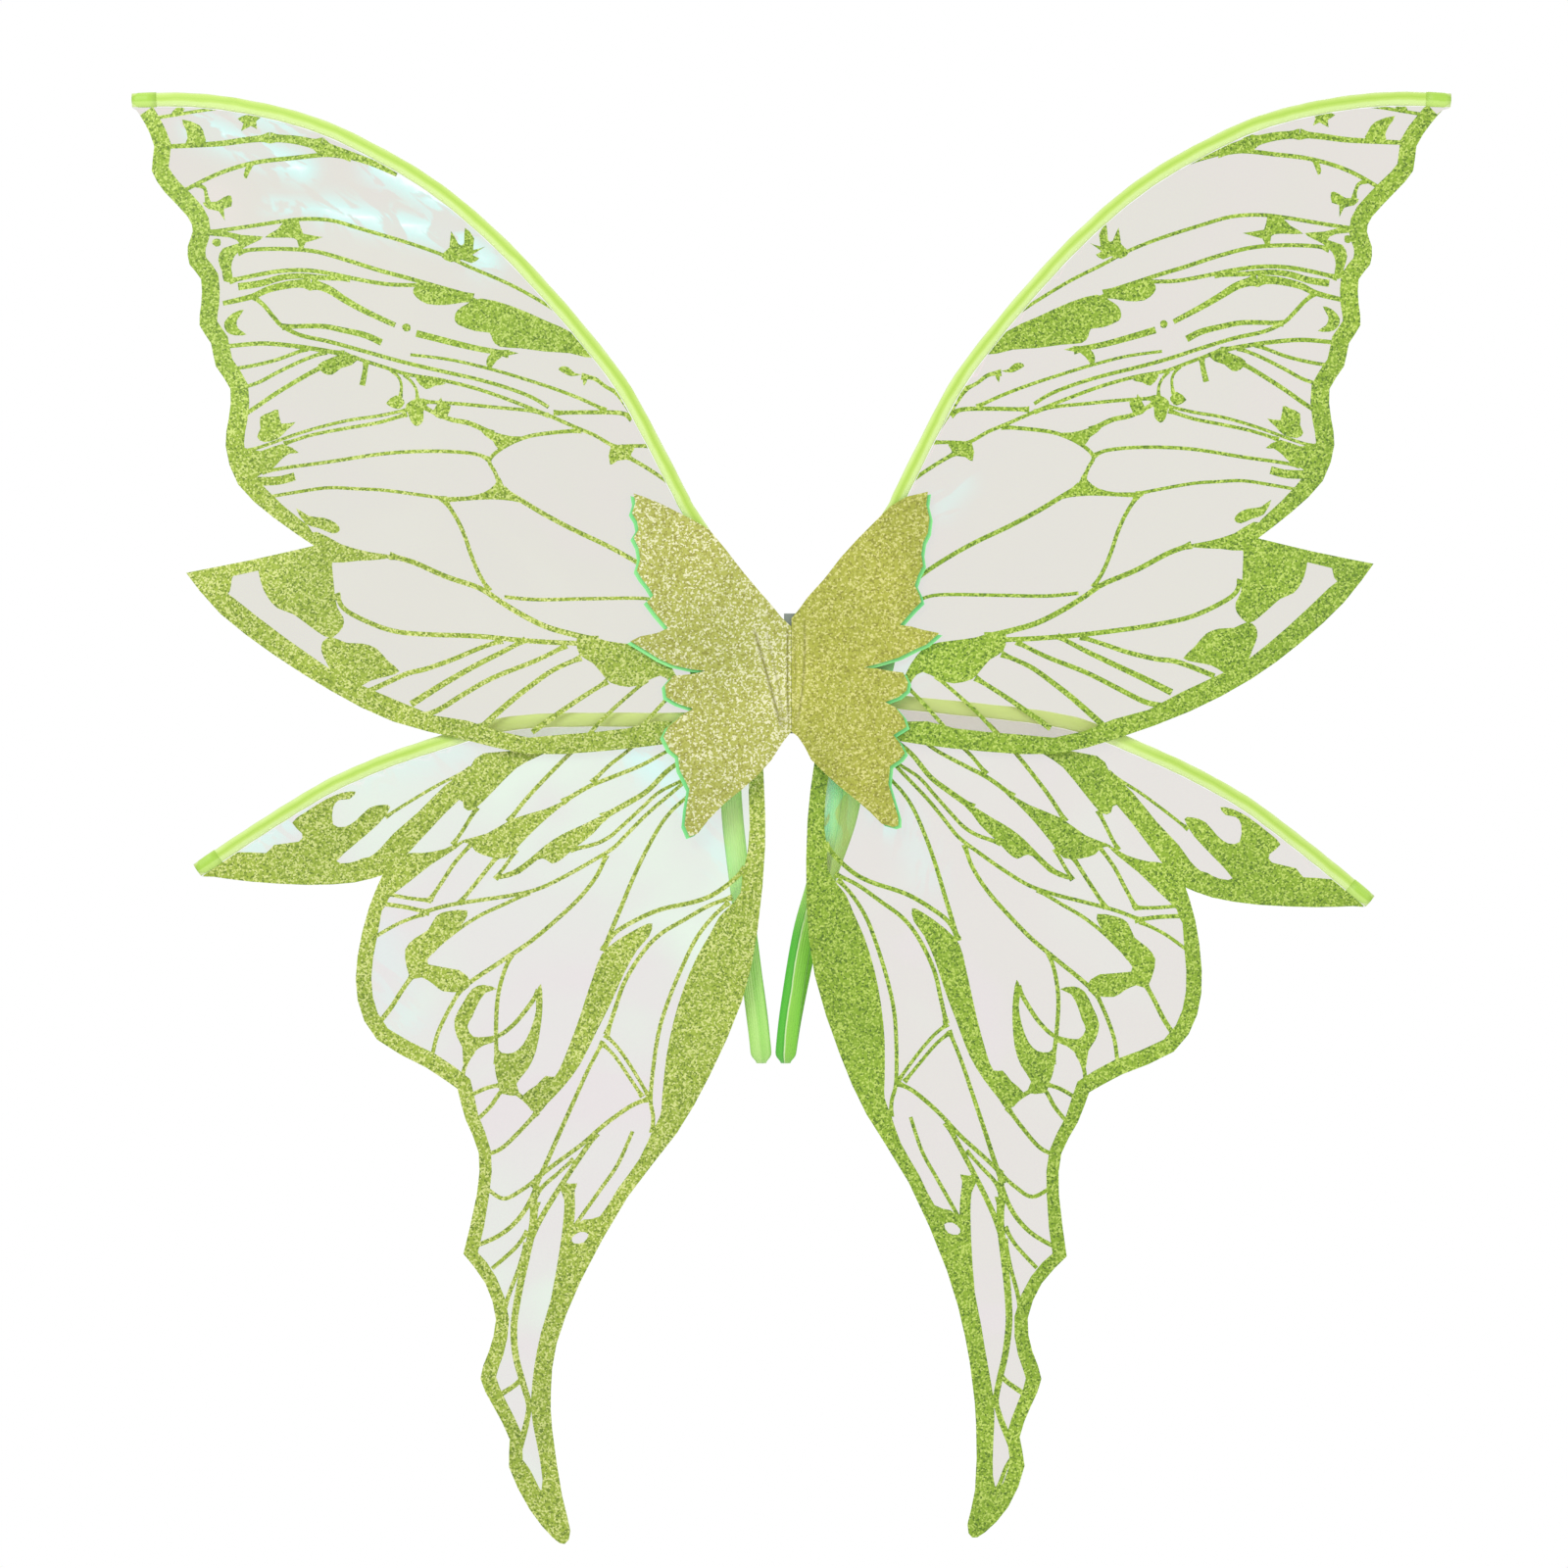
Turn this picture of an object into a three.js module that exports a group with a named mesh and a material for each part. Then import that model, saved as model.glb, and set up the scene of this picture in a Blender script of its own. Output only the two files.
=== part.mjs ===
// Fairy wings: two glittered foam cover halves that fold at a webbing spine, four printed film wings on bent
// wires, and two elastic shoulder loops sewn to a back panel.
// Millimetres. +X is the wearer's right, +Z is up and the wearer's back is on the +Y side. The origin is the
// middle of the back panel's rear face. The halves fold forwards about the front of the seam.
// Wing and cover drawings are given as (u, v): u outward from the spine, v up.
import * as THREE from 'three';

// ---- driving dimensions ----
const clearance = 0.3; // between pieces that touch, and round whatever turns

const wire = { radius: 1, sides: 6, stepsPerPoint: 2, endSetback: 5 };
const eye = { radius: 4, points: 11, opening: 70 }; // bent into the wire's end, round the eyelet
const ribbon = { wall: 0.3 }; // each face of a casing
const casing = {
  width: 8.6,
  thickness: 2 * (wire.radius + clearance + ribbon.wall),
  hem: 1.2,
  sides: 8,
  steps: 26,
};
const film = { thickness: 0.6, stepsPerPoint: 2 };
const cover = { thickness: 1.8, seamGap: 1 };
const backing = { thickness: 1 };
const core = { thickness: 1.2 };
const panel = { thickness: 2 };
const upperWing = { length: 504, drawnLength: 504 }; // from the eyelet to the wing's tip
const lowerWing = { length: 520, drawnLength: 520 }; // from the eyelet to the tail's tip
const innerEdge = 5.4; // where the backing and the core plate start, beside the spine
const eyelet = { bore: 1.5, flangeRadius: 5.6, flange: 0.8, sides: 16 };
const spine = { tapeWidth: 9, tapeThickness: 0.8, webWidth: 5, top: 39, bottom: -34, webInset: 6 };
const strap = { width: 13, drawnWidth: 13, thickness: 1.4, sewnAt: -44, steps: 44 };
const patchMargin = 2; // that a patch stands past its strap, on either side
const patch = { width: strap.width + 2 * patchMargin, height: 15, thickness: 1.6 };

// where each wing's wire is riveted, and how far each wing is turned down about that eyelet, in degrees
const upperRoot = { left: [16, 28], right: [16, 28] };
const lowerRoot = { left: [22, -22], right: [24, -7] };
const upperTurn = { left: 0, right: 0 };
const lowerTurn = { left: 0, right: 5.8 };

// the wings are bent and sewn by hand: the left upper film came out wider and lower than the right one on a
// flatter wire, and the right lower tail curls outward
const upperStandsOut = { left: 14, right: 0 };
const standsOutOver = { from: 260, to: 400 }; // along u + v / 2
const standsOutFades = { at: 356, over: 60 }; // in v, below the wing's tip
const upperDrops = { left: 7, right: 0 };
const dropsOver = { from: 180, to: 260 }; // along u
const dropsBelow = { top: 150, over: 100 }; // in v
const upperLeadFlattens = { left: 3.5, right: 0 };
const tailCurlsOut = { left: 0, right: 22 };
const tailCurl = { from: 400, to: 529 }; // below the origin, to the tail's tip

// ---- layers, from the wearer's back forwards ----
const panelFront = -panel.thickness;
const lowerRearFlange = panelFront - clearance;
const lowerWireY = lowerRearFlange - eyelet.flange - clearance - wire.radius;
const coreBack = lowerWireY - casing.thickness / 2 - clearance;
const coreFront = coreBack - core.thickness;
const upperWireY = coreFront - clearance - casing.thickness / 2;
const upperFrontFlange = upperWireY - wire.radius - clearance - eyelet.flange;
const backingBack = upperFrontFlange - clearance;
const coverBack = backingBack - backing.thickness - clearance;
const tapeFront = coverBack + clearance;
const tapeBack = tapeFront + spine.tapeThickness;
const postRadius = eye.radius - wire.radius - clearance;

// ---- drawings: centre line of each leading edge, then the free edge in runs that meet at corners ----
const upperLead = [
  [32, 57], [60, 99], [68, 115], [86, 151], [103, 182], [129, 216], [154, 245], [177, 269], [203, 292],
  [227, 309], [252, 323], [277, 335], [301, 343], [326, 348.5], [351, 352], [375, 353], [402, 352],
];
const upperEdge = [
  [[397, 346], [390, 338], [381, 324], [379, 309], [368, 296], [354, 281], [351, 272], [354, 263], [353, 252],
    [346, 243], [346, 228], [347, 215], [340, 204], [337, 190], [328, 176], [329, 158],
    [331, 142], [324, 120],
    [305, 101], [284.5, 85]],
  [[284.5, 85], [318, 77], [355, 69.5]],
  [[355, 69.5], [337, 46], [310, 21], [280, -1], [243, -20.5], [200, -36.5], [161, -46.5],
    [118, -45], [81, -41],
    [50, -36]],
  [[50, -36], [36, -20], [32, 12], [34, 40]],
];
const lowerLead = [
  [48, -24.5], [70, -25.5], [120, -25.5], [150, -26], [176, -28.5], [200, -35], [219, -41], [240, -48],
  [259, -55.5], [280, -65], [300, -76.5], [320, -89], [340, -102], [363, -117.5],
];
const lowerEdge = [
  [[353, -121.5], [330, -124.5], [295, -126.5], [267, -125], [250, -120.5]],
  [[250, -120.5], [258, -140], [265, -170], [265, -197], [253, -221], [223, -238], [204, -251]],
  [[204, -251], [199, -270], [191, -290], [192, -315], [200.5, -352]],
  [[200.5, -352], [187, -370], [180.5, -392], [185, -412], [190, -428], [182, -445], [172, -465],
    [172.5, -482],
    [160, -508], [146, -525], [138.5, -529], [135, -521], [140, -500], [146, -460], [147, -435],
    [143.5, -407],
    [128.5, -368], [100, -317], [70, -278], [50, -243], [30, -197], [20.5, -153], [16, -103], [16.5, -70],
    [17.5, -50]],
  [[17.5, -50], [30, -44], [42, -37]],
];

// the cover halves are cut by hand as well, so each has its own feathered outline, from the top of the seam
// round to its bottom
const coverOutline = {
  left: [
    [6, 36.5], [12, 44], [20, 53], [30, 65], [40, 78], [50, 90], [60, 96], [70, 101], [80, 106], [90, 110],
    [96, 112], [95, 106], [97, 100], [94, 95], [93, 90], [96, 85], [93, 79], [92, 72], [94, 65], [91, 60],
    [87, 55], [84, 50], [88, 46], [82, 38], [75, 30], [82, 27], [92, 25], [98, 22], [88, 16],
    [80, 11], [72, 7.5],
    [61, 5], [52, 4], [61, 2], [72, 1], [77, -5], [76, -12], [69, -16], [60, -19], [67, -23], [75, -30],
    [78, -36], [74, -44], [69, -48], [68, -56], [62, -68], [64, -80], [65, -90], [62, -97], [57, -95],
    [50, -86], [40, -76], [30, -68], [20, -59], [12, -50], [5, -39],
  ],
  right: [
    [5, 42], [10, 49], [20, 60], [30, 73], [40, 84], [50, 94], [60, 104], [70, 110], [83, 113], [82, 105],
    [84, 97], [83, 88], [80, 82], [79, 75], [80, 68], [77, 62], [75, 56], [78, 50], [79, 46], [74, 41],
    [66, 32], [73, 31], [80, 29], [90, 27], [82, 20], [75, 17], [65, 12], [55, 9], [44, 6], [52, 5.5],
    [60, 4], [68, 3], [71, -3], [70, -8], [65, -12], [57, -15], [63, -18], [68, -24], [70, -30], [62, -35],
    [66, -40], [69, -46], [66, -50], [60, -54], [59, -65], [62, -75], [65, -85], [65, -90], [62, -91],
    [55, -89], [48, -82], [40, -75], [30, -67], [20, -58], [12, -50], [8, -42], [4, -36],
  ],
};
const seamTop = { left: 31, right: 36 };
const seamBottom = -33;
const backingOutline = {
  left: [
    [8, 35], [22, 51], [42, 76], [52, 88.5], [72, 98], [90, 106], [94, 94], [92, 82], [91, 70], [88, 58],
    [84, 47], [82, 38], [86, 30], [90, 21], [82, 14], [81, 4], [79, -4], [78, -10], [73, -16], [72, -24],
    [78, -32], [76, -41], [72, -50], [68, -62], [67, -78], [66, -90], [60, -94], [51, -84], [31, -66],
    [14, -50], [7, -38],
  ],
  right: [
    [8, 41], [22, 60], [42, 83], [62, 102], [80, 109], [80, 96], [79, 84], [76, 70], [75, 54], [78, 44],
    [80, 38], [83, 31], [84, 23], [76, 15], [68, 8], [72, 0], [72, -9], [70, -16], [70, -26], [73, -36],
    [70, -46], [66, -56], [64, -70], [66, -84], [60, -88], [50, -81], [31, -65], [14, -49], [8, -39],
  ],
};
const coreOutline = [
  [7, 33], [14, 42], [40, 74], [60, 90], [68, 84], [66, 52], [60, 38], [66, 22], [58, -14],
  [54, -60], [48, -76],
  [40, -69], [20, -53], [8, -37],
];
const panelOutline = [
  [0, 27], [10, 38], [30, 59], [40, 62], [45, 54], [43, 0], [45, -50], [40, -61], [30, -59],
  [10, -40], [0, -28],
];

// route of each shoulder loop, as (u, distance behind the panel, height): down in front, round the bottom and
// up behind
const strapRoute = {
  left: [
    [38, 1.4, -46], [37.5, 1.6, -62], [35.5, 2.6, -90], [31.5, 4, -125], [26.5, 5.5, -165], [21.5, 7, -205],
    [19, 9.5, -226], [18.5, 17, -236.5], [19, 25.5, -229], [21.5, 29, -205], [27, 27.5, -165], [32, 22, -125],
    [36, 13, -90], [37.5, 6.5, -62], [38, 4, -46],
  ],
  right: [
    [28, 1.4, -46], [26, 1.6, -62], [22.5, 2.6, -90], [16.5, 4, -122], [7.5, 5.5, -155], [0, 7, -200],
    [-3, 9.5, -226], [-3.5, 17, -236.5], [-3, 25.5, -229], [1, 29, -205], [9.5, 27.5, -165], [21, 22, -125],
    [33, 13, -90], [38, 6.5, -62], [36, 4, -46],
  ],
};
const patchAt = { left: 37, right: 32 };

// ---- materials ----
function paint(color, roughness, metalness = 0) {
  return new THREE.MeshStandardMaterial({ color, roughness, metalness });
}
const clearFilm = () => {
  const material = paint(0xdfe6d2, 0.15);
  material.transparent = true;
  material.opacity = 0.45;
  return material;
};

// ---- helpers ----
const outward = (side) => (side === 'left' ? -1 : 1);
const toRadians = THREE.MathUtils.degToRad;

// a point of a drawing on one side of the spine, measured from `from`
function onSide([u, v], side, from = [0, 0]) {
  return new THREE.Vector2(outward(side) * (u - from[0]), v - from[1]);
}

// a flat sheet cut to an outline in the XZ plane, its rear face at y = back
function sheet(name, points, back, thickness, material, holes = []) {
  const shape = new THREE.Shape(points);
  shape.holes.push(...holes);
  const geometry = new THREE.ExtrudeGeometry(shape, {
    depth: thickness,
    bevelEnabled: false,
    curveSegments: 8,
  });
  const mesh = new THREE.Mesh(geometry, material);
  mesh.name = name;
  mesh.rotation.x = Math.PI / 2;
  mesh.position.y = back;
  return mesh;
}

function ellipse(halfX, halfY, sides) {
  return Array.from({ length: sides }, (_, i) => {
    const angle = (i / sides) * 2 * Math.PI;
    return new THREE.Vector2(halfX * Math.cos(angle), halfY * Math.sin(angle));
  });
}

// a curve whose steps follow its own points, closer together where it bends
class BentCurve extends THREE.CatmullRomCurve3 {
  getUtoTmapping(along) {
    return along;
  }
}

const toVectors = (run) => run.map((point) => new THREE.Vector2(...point));

// a drawing made longer or shorter about its eyelet
function resized(points, root, { length, drawnLength }) {
  const scale = length / drawnLength;
  return points.map(([u, v]) => [root[0] + (u - root[0]) * scale, root[1] + (v - root[1]) * scale]);
}

// points of a drawing's runs, smoothed between the corners
function smoothRuns(runs, stepsPerPoint) {
  return runs.flatMap((run) => {
    const curve = new THREE.SplineCurve(run);
    return curve.getPoints((run.length - 1) * stepsPerPoint).slice(0, -1);
  });
}

function leadCurve(lead, side, root, y) {
  return new THREE.CatmullRomCurve3(lead.map((point) => {
    const { x, y: z } = onSide(point, side, root);
    return new THREE.Vector3(x, y, z);
  }));
}

// ---- wing pieces, each drawn from its own eyelet ----

// a bent wire: an eye round the eyelet's post, then the leading edge, stopping short inside the casing's tip
function wingWire(name, lead, side, root, y) {
  const first = onSide(lead[0], side, root);
  const heading = Math.atan2(first.y, first.x);
  const turn = outward(side) * (2 * Math.PI - toRadians(eye.opening));
  const bend = Array.from({ length: eye.points }, (_, i) => {
    const angle = heading - turn * (1 - i / (eye.points - 1));
    return new THREE.Vector3(eye.radius * Math.cos(angle), y, eye.radius * Math.sin(angle));
  });
  const curve = leadCurve(lead, side, root, y);
  const stop = 1 - wire.endSetback / curve.getLength();
  const run = lead.map((_, i) => curve.getPointAt((i / (lead.length - 1)) * stop));
  const path = new BentCurve([...bend, ...run]);
  const section = new THREE.Shape(ellipse(wire.radius, wire.radius, wire.sides));
  const steps = (bend.length + run.length - 1) * wire.stepsPerPoint;
  const mesh = new THREE.Mesh(
    new THREE.ExtrudeGeometry(section, { steps, extrudePath: path, bevelEnabled: false }),
    paint(0xb9c0bd, 0.35, 0.9),
  );
  mesh.name = name;
  return mesh;
}

// a flattened ribbon sleeve round the wire, open at both ends
function wingCasing(name, lead, side, root, y) {
  const section = new THREE.Shape(ellipse(casing.thickness / 2, casing.width / 2, casing.sides));
  const hollow = [wire.radius + clearance, casing.width / 2 - casing.hem];
  section.holes.push(new THREE.Path(ellipse(...hollow, casing.sides)));
  const mesh = new THREE.Mesh(
    new THREE.ExtrudeGeometry(section, {
      steps: casing.steps,
      extrudePath: leadCurve(lead, side, root, y),
      bevelEnabled: false,
    }),
    paint(0xbbe552, 0.45),
  );
  mesh.name = name;
  return mesh;
}

// the film: its leading side lies just inside the casing, its free side follows the drawing
function wingFilm(name, lead, edge, side, root, y) {
  const inset = outward(side) * (casing.width / 2 + clearance);
  const curve = leadCurve(lead, side, root, y);
  const leadSide = Array.from({ length: casing.steps + 1 }, (_, i) => {
    const tangent = curve.getTangentAt(i / casing.steps);
    const at = curve.getPointAt(i / casing.steps);
    return new THREE.Vector2(at.x + tangent.z * inset, at.z - tangent.x * inset);
  });
  const points = [...leadSide, ...edge.map((point) => onSide(point, side, root))];
  return sheet(name, points, y + film.thickness / 2, film.thickness, clearFilm());
}

// the upper film's free edge, standing out and dropping on one side, less at the tip
function upperFreeEdge(side) {
  const { smoothstep, clamp } = THREE.MathUtils;
  return smoothRuns(upperEdge.map(toVectors), film.stepsPerPoint).map(({ x: u, y: v }) => {
    const outer = smoothstep(u + 0.5 * v, standsOutOver.from, standsOutOver.to);
    const belowTip = clamp((standsOutFades.at - v) / standsOutFades.over, 0, 1);
    const belowTop = clamp((dropsBelow.top - v) / dropsBelow.over, 0, 1);
    const low = smoothstep(u, dropsOver.from, dropsOver.to) * belowTop;
    return [u + upperStandsOut[side] * outer * belowTip, v - upperDrops[side] * low];
  });
}

function lowerFreeEdge(side) {
  return smoothRuns(lowerEdge.map(toVectors), film.stepsPerPoint).map(({ x: u, y: v }) => {
    const curl = THREE.MathUtils.smoothstep(-v, tailCurl.from, tailCurl.to);
    return [u + tailCurlsOut[side] * curl, v];
  });
}

// the upper leading edge, drawn in towards the film at mid length on the side whose wire is flatter
function upperLeadOn(side) {
  return upperLead.map(([u, v], i) => {
    const inward = upperLeadFlattens[side] * Math.sin((i / (upperLead.length - 1)) * Math.PI) * Math.SQRT1_2;
    return [u + inward, v - inward];
  });
}

// a tubular eyelet rolled over at both ends, its axis along Y
function wingEyelet(name, root, side, front, back) {
  const rim = eyelet.flange;
  const profile = [
    [eyelet.bore, front], [eyelet.flangeRadius, front], [eyelet.flangeRadius, front + rim],
    [postRadius, front + rim], [postRadius, back - rim], [eyelet.flangeRadius, back - rim],
    [eyelet.flangeRadius, back], [eyelet.bore, back], [eyelet.bore, front],
  ].map(([r, y]) => new THREE.Vector2(r, y));
  const mesh = new THREE.Mesh(new THREE.LatheGeometry(profile, eyelet.sides), paint(0xc9cccb, 0.3, 1));
  mesh.name = name;
  mesh.position.set(outward(side) * root[0], 0, root[1]);
  return mesh;
}

function wing(side, level) {
  const upper = level === 'upper';
  const root = (upper ? upperRoot : lowerRoot)[side];
  const drawnFrom = (upper ? upperRoot : lowerRoot).left;
  const size = upper ? upperWing : lowerWing;
  const lead = resized(upper ? upperLeadOn(side) : lowerLead, drawnFrom, size);
  const edge = resized(upper ? upperFreeEdge(side) : lowerFreeEdge(side), drawnFrom, size);
  const y = upper ? upperWireY : lowerWireY;
  const prefix = `${side}_${level}`;
  const group = new THREE.Group();
  group.add(
    wingWire(`${prefix}_wire`, lead, side, drawnFrom, y),
    wingCasing(`${prefix}_casing`, lead, side, drawnFrom, y),
    wingFilm(`${prefix}_film`, lead, edge, side, drawnFrom, y),
  );
  group.position.set(outward(side) * root[0], 0, root[1]);
  group.rotation.y = outward(side) * toRadians((upper ? upperTurn : lowerTurn)[side]);
  return group;
}

// ---- cover halves ----

function coverHalf(side) {
  const seam = [[cover.seamGap / 2, seamBottom], [cover.seamGap / 2, seamTop[side]]];
  const points = [...seam, ...coverOutline[side]].map((point) => onSide(point, side));
  return sheet(`${side}_front_cover`, points, coverBack, cover.thickness, paint(0xbdbb4c, 0.6));
}

function backingHalf(side) {
  const points = [[innerEdge, seamBottom], [innerEdge, seamTop[side]], ...backingOutline[side]];
  return sheet(
    `${side}_cover_backing`,
    points.map((point) => onSide(point, side)),
    backingBack,
    backing.thickness,
    paint(0x66c97a, 0.8),
  );
}

// the core plate is pierced for the eyelets that hold the wires' eyes on both its faces
function coreHalf(side) {
  const holes = [upperRoot[side], lowerRoot[side]].map((root) => {
    const centre = onSide(root, side);
    const radius = postRadius + clearance;
    return new THREE.Path(ellipse(radius, radius, eyelet.sides).map((point) => point.add(centre)));
  });
  const points = [[innerEdge, seamBottom + 2], [innerEdge, seamTop.left - 1], ...coreOutline];
  return sheet(
    `${side}_core_plate`,
    points.map((point) => onSide(point, side)),
    coreBack,
    core.thickness,
    paint(0x58b56a, 0.8),
    holes,
  );
}

function half(side) {
  const group = new THREE.Group();
  const upperEyeletBack = coreBack + clearance + eyelet.flange;
  const lowerEyeletFront = coreFront - clearance - eyelet.flange;
  group.add(
    coverHalf(side),
    backingHalf(side),
    coreHalf(side),
    wingEyelet(`${side}_upper_eyelet`, upperRoot[side], side, upperFrontFlange, upperEyeletBack),
    wingEyelet(`${side}_lower_eyelet`, lowerRoot[side], side, lowerEyeletFront, lowerRearFlange),
    wing(side, 'upper'),
    wing(side, 'lower'),
  );
  return group;
}

// ---- spine, back panel and shoulder loops ----

function block(name, width, [back, front], [bottom, top], material) {
  const mesh = new THREE.Mesh(new THREE.BoxGeometry(width, back - front, top - bottom), material);
  mesh.name = name;
  mesh.position.set(0, (back + front) / 2, (top + bottom) / 2);
  return mesh;
}

function backPanel() {
  const mirrored = panelOutline.slice(1, -1).reverse().map(([u, v]) => [-u, v]);
  const points = [...panelOutline, ...mirrored].map(([x, z]) => new THREE.Vector2(x, z));
  return sheet('back_panel', points, 0, panel.thickness, paint(0x74cf84, 0.85));
}

// a route whose flat side always faces front or back, so that the band keeps its width level
class LoopRoute extends THREE.CatmullRomCurve3 {
  computeFrenetFrames(segments) {
    const tangents = Array.from({ length: segments + 1 }, (_, i) => this.getTangentAt(i / segments));
    const normals = tangents.map((tangent) => new THREE.Vector3(0, -tangent.z, tangent.y).normalize());
    const binormals = tangents.map((tangent, i) => new THREE.Vector3().crossVectors(tangent, normals[i]));
    return { tangents, normals, binormals };
  }
}

// a wider band moves out, so that the two loops keep their gap
function loopPlace(side, u) {
  return outward(side) * (u + (strap.width - strap.drawnWidth) / 2);
}

function shoulderLoop(side) {
  const band = new THREE.Shape([
    new THREE.Vector2(-strap.thickness / 2, -strap.width / 2),
    new THREE.Vector2(strap.thickness / 2, -strap.width / 2),
    new THREE.Vector2(strap.thickness / 2, strap.width / 2),
    new THREE.Vector2(-strap.thickness / 2, strap.width / 2),
  ]);
  const route = strapRoute[side].map(([u, y, z]) => new THREE.Vector3(loopPlace(side, u), y, z));
  const mesh = new THREE.Mesh(
    new THREE.ExtrudeGeometry(band, {
      steps: strap.steps,
      extrudePath: new LoopRoute(route),
      bevelEnabled: false,
    }),
    paint(0x9fd878, 0.35),
  );
  mesh.name = `${side}_strap`;
  return mesh;
}

// the sewn end of each loop, stitched flat to the back panel
function strapPatch(side) {
  const y = [clearance + patch.thickness, clearance];
  const z = [strap.sewnAt, strap.sewnAt + patch.height];
  const mesh = block(`${side}_strap_patch`, patch.width, y, z, paint(0x8fcf66, 0.45));
  mesh.position.x = loopPlace(side, patchAt[side]);
  return mesh;
}

const group = new THREE.Group();
group.add(
  block(
    'spine_tape',
    spine.tapeWidth,
    [tapeBack, tapeFront],
    [spine.bottom, spine.top],
    paint(0x8a938c, 0.8),
  ),
  block(
    'spine_web',
    spine.webWidth,
    [panelFront - clearance, tapeBack + clearance],
    [spine.bottom + spine.webInset, spine.top - 2 * spine.webInset],
    paint(0x7b847d, 0.8),
  ),
  backPanel(),
);
for (const side of ['left', 'right']) {
  group.add(half(side), shoulderLoop(side), strapPatch(side));
}

export default group;
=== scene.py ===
import bpy
import bmesh
import math
from mathutils import Matrix, Vector, geometry


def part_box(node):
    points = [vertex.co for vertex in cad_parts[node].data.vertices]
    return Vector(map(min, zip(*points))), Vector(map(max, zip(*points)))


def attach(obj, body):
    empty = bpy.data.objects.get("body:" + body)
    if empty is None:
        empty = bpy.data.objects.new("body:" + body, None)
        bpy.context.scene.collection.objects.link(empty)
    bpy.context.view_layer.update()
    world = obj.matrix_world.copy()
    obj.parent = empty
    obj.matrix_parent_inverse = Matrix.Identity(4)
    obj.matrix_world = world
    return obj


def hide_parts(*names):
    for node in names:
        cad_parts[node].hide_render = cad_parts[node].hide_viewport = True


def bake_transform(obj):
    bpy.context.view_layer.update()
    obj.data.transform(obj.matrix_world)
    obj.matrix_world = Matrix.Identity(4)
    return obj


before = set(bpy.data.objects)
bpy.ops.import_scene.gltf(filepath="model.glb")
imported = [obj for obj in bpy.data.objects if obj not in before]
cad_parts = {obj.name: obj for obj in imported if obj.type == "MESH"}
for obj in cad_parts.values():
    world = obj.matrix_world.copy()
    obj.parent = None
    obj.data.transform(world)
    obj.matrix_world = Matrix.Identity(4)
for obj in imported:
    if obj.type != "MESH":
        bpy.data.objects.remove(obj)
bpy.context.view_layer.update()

mm = 0.001
scene = bpy.context.scene
scene.view_settings.view_transform = 'Standard'
sides = ("left", "right")
levels = ("upper", "lower")
outward = {"left": -1, "right": 1}  # along X

camera = {"lens": 85, "sensor": 36, "wide": 960, "aimX": -4.5, "aimZ": -64.8}
lights = {  # power, place, size
    "key": (26, (-1.2, -1.8, 1.3), 1.2), "fill": (9, (1.5, -1.6, 0.3), 1.4), "rear": (20, (0.6, 1.8, 1.2), 1.4)}
room = {"light": 0.72, "seen": 1.0}
floorDisc = {"radius": 3.0, "height": -1.3, "color": "#F4F3F0", "mottle": "#F1F0ED"}


def linear(code):
    # sRGB hex to linear
    parts = [int(code[i:i + 2], 16) / 255 for i in (1, 3, 5)]
    made = [c / 12.92 if c <= 0.04045 else ((c + 0.055) / 1.055) ** 2.4 for c in parts]
    return (*made, 1.0)


def placeCamera():
    data = bpy.data.cameras.new("camera")
    data.lens = camera["lens"]
    data.sensor_width = camera["sensor"]
    data.clip_end = 50
    obj = bpy.data.objects.new("camera", data)
    scene.collection.objects.link(obj)
    away = camera["wide"] * mm * camera["lens"] / camera["sensor"]
    obj.location = (camera["aimX"] * mm, -away, camera["aimZ"] * mm)
    obj.rotation_euler = (math.radians(90), 0, 0)
    scene.camera = obj


def areaLight(name, power, at, size):
    data = bpy.data.lights.new(name, 'AREA')
    data.energy = power
    data.size = size
    obj = bpy.data.objects.new(name, data)
    scene.collection.objects.link(obj)
    obj.location = at
    obj.rotation_euler = (Vector((0, 0, -0.06)) - Vector(at)).to_track_quat('-Z', 'Y').to_euler()


def whiteRoom():
    world = bpy.data.worlds.new("studio")
    scene.world = world
    world.use_nodes = True
    tree = world.node_tree
    tree.nodes.clear()
    out = addNode(tree, 'OutputWorld')
    path = addNode(tree, 'LightPath')
    light = addNode(tree, 'Background', {"Color": (1, 1, 1, 1), "Strength": room["light"]})
    seen = addNode(tree, 'Background', {"Color": (1, 1, 1, 1), "Strength": room["seen"]})
    mix = addNode(tree, 'MixShader', {
        0: (path, "Is Camera Ray"), 1: (light, 0), 2: (seen, 0)})
    fill(tree, out, {0: (mix, 0)})


def addNode(tree, kind, links=None, stops=(), **settings):
    # stops are a colour ramp's places and colours
    node = tree.nodes.new('ShaderNode' + kind)
    for _ in stops[2:]:
        node.color_ramp.elements.new(0.5)
    for i, (at, color) in enumerate(stops):
        node.color_ramp.elements[i].position = at
        node.color_ramp.elements[i].color = linear(color) if isinstance(color, str) else color
    for key, value in settings.items():
        setattr(node, key, value)
    fill(tree, node, links or {})
    return node


def fill(tree, node, links):
    # a link is (node, output), a string is a hex colour, and anything else is the socket's own value
    for key, value in links.items():
        if isinstance(value, tuple) and isinstance(value[0], bpy.types.Node):
            tree.links.new(value[0].outputs[value[1]], node.inputs[key])
        else:
            node.inputs[key].default_value = linear(value) if isinstance(value, str) else value


def floor():
    bm = bmesh.new()
    bmesh.ops.create_circle(bm, cap_ends=True, segments=64, radius=floorDisc["radius"])
    bmesh.ops.translate(bm, verts=bm.verts, vec=(0, 0, floorDisc["height"]))
    obj = finish("studio_floor", bm, [plainFloor()])


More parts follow.
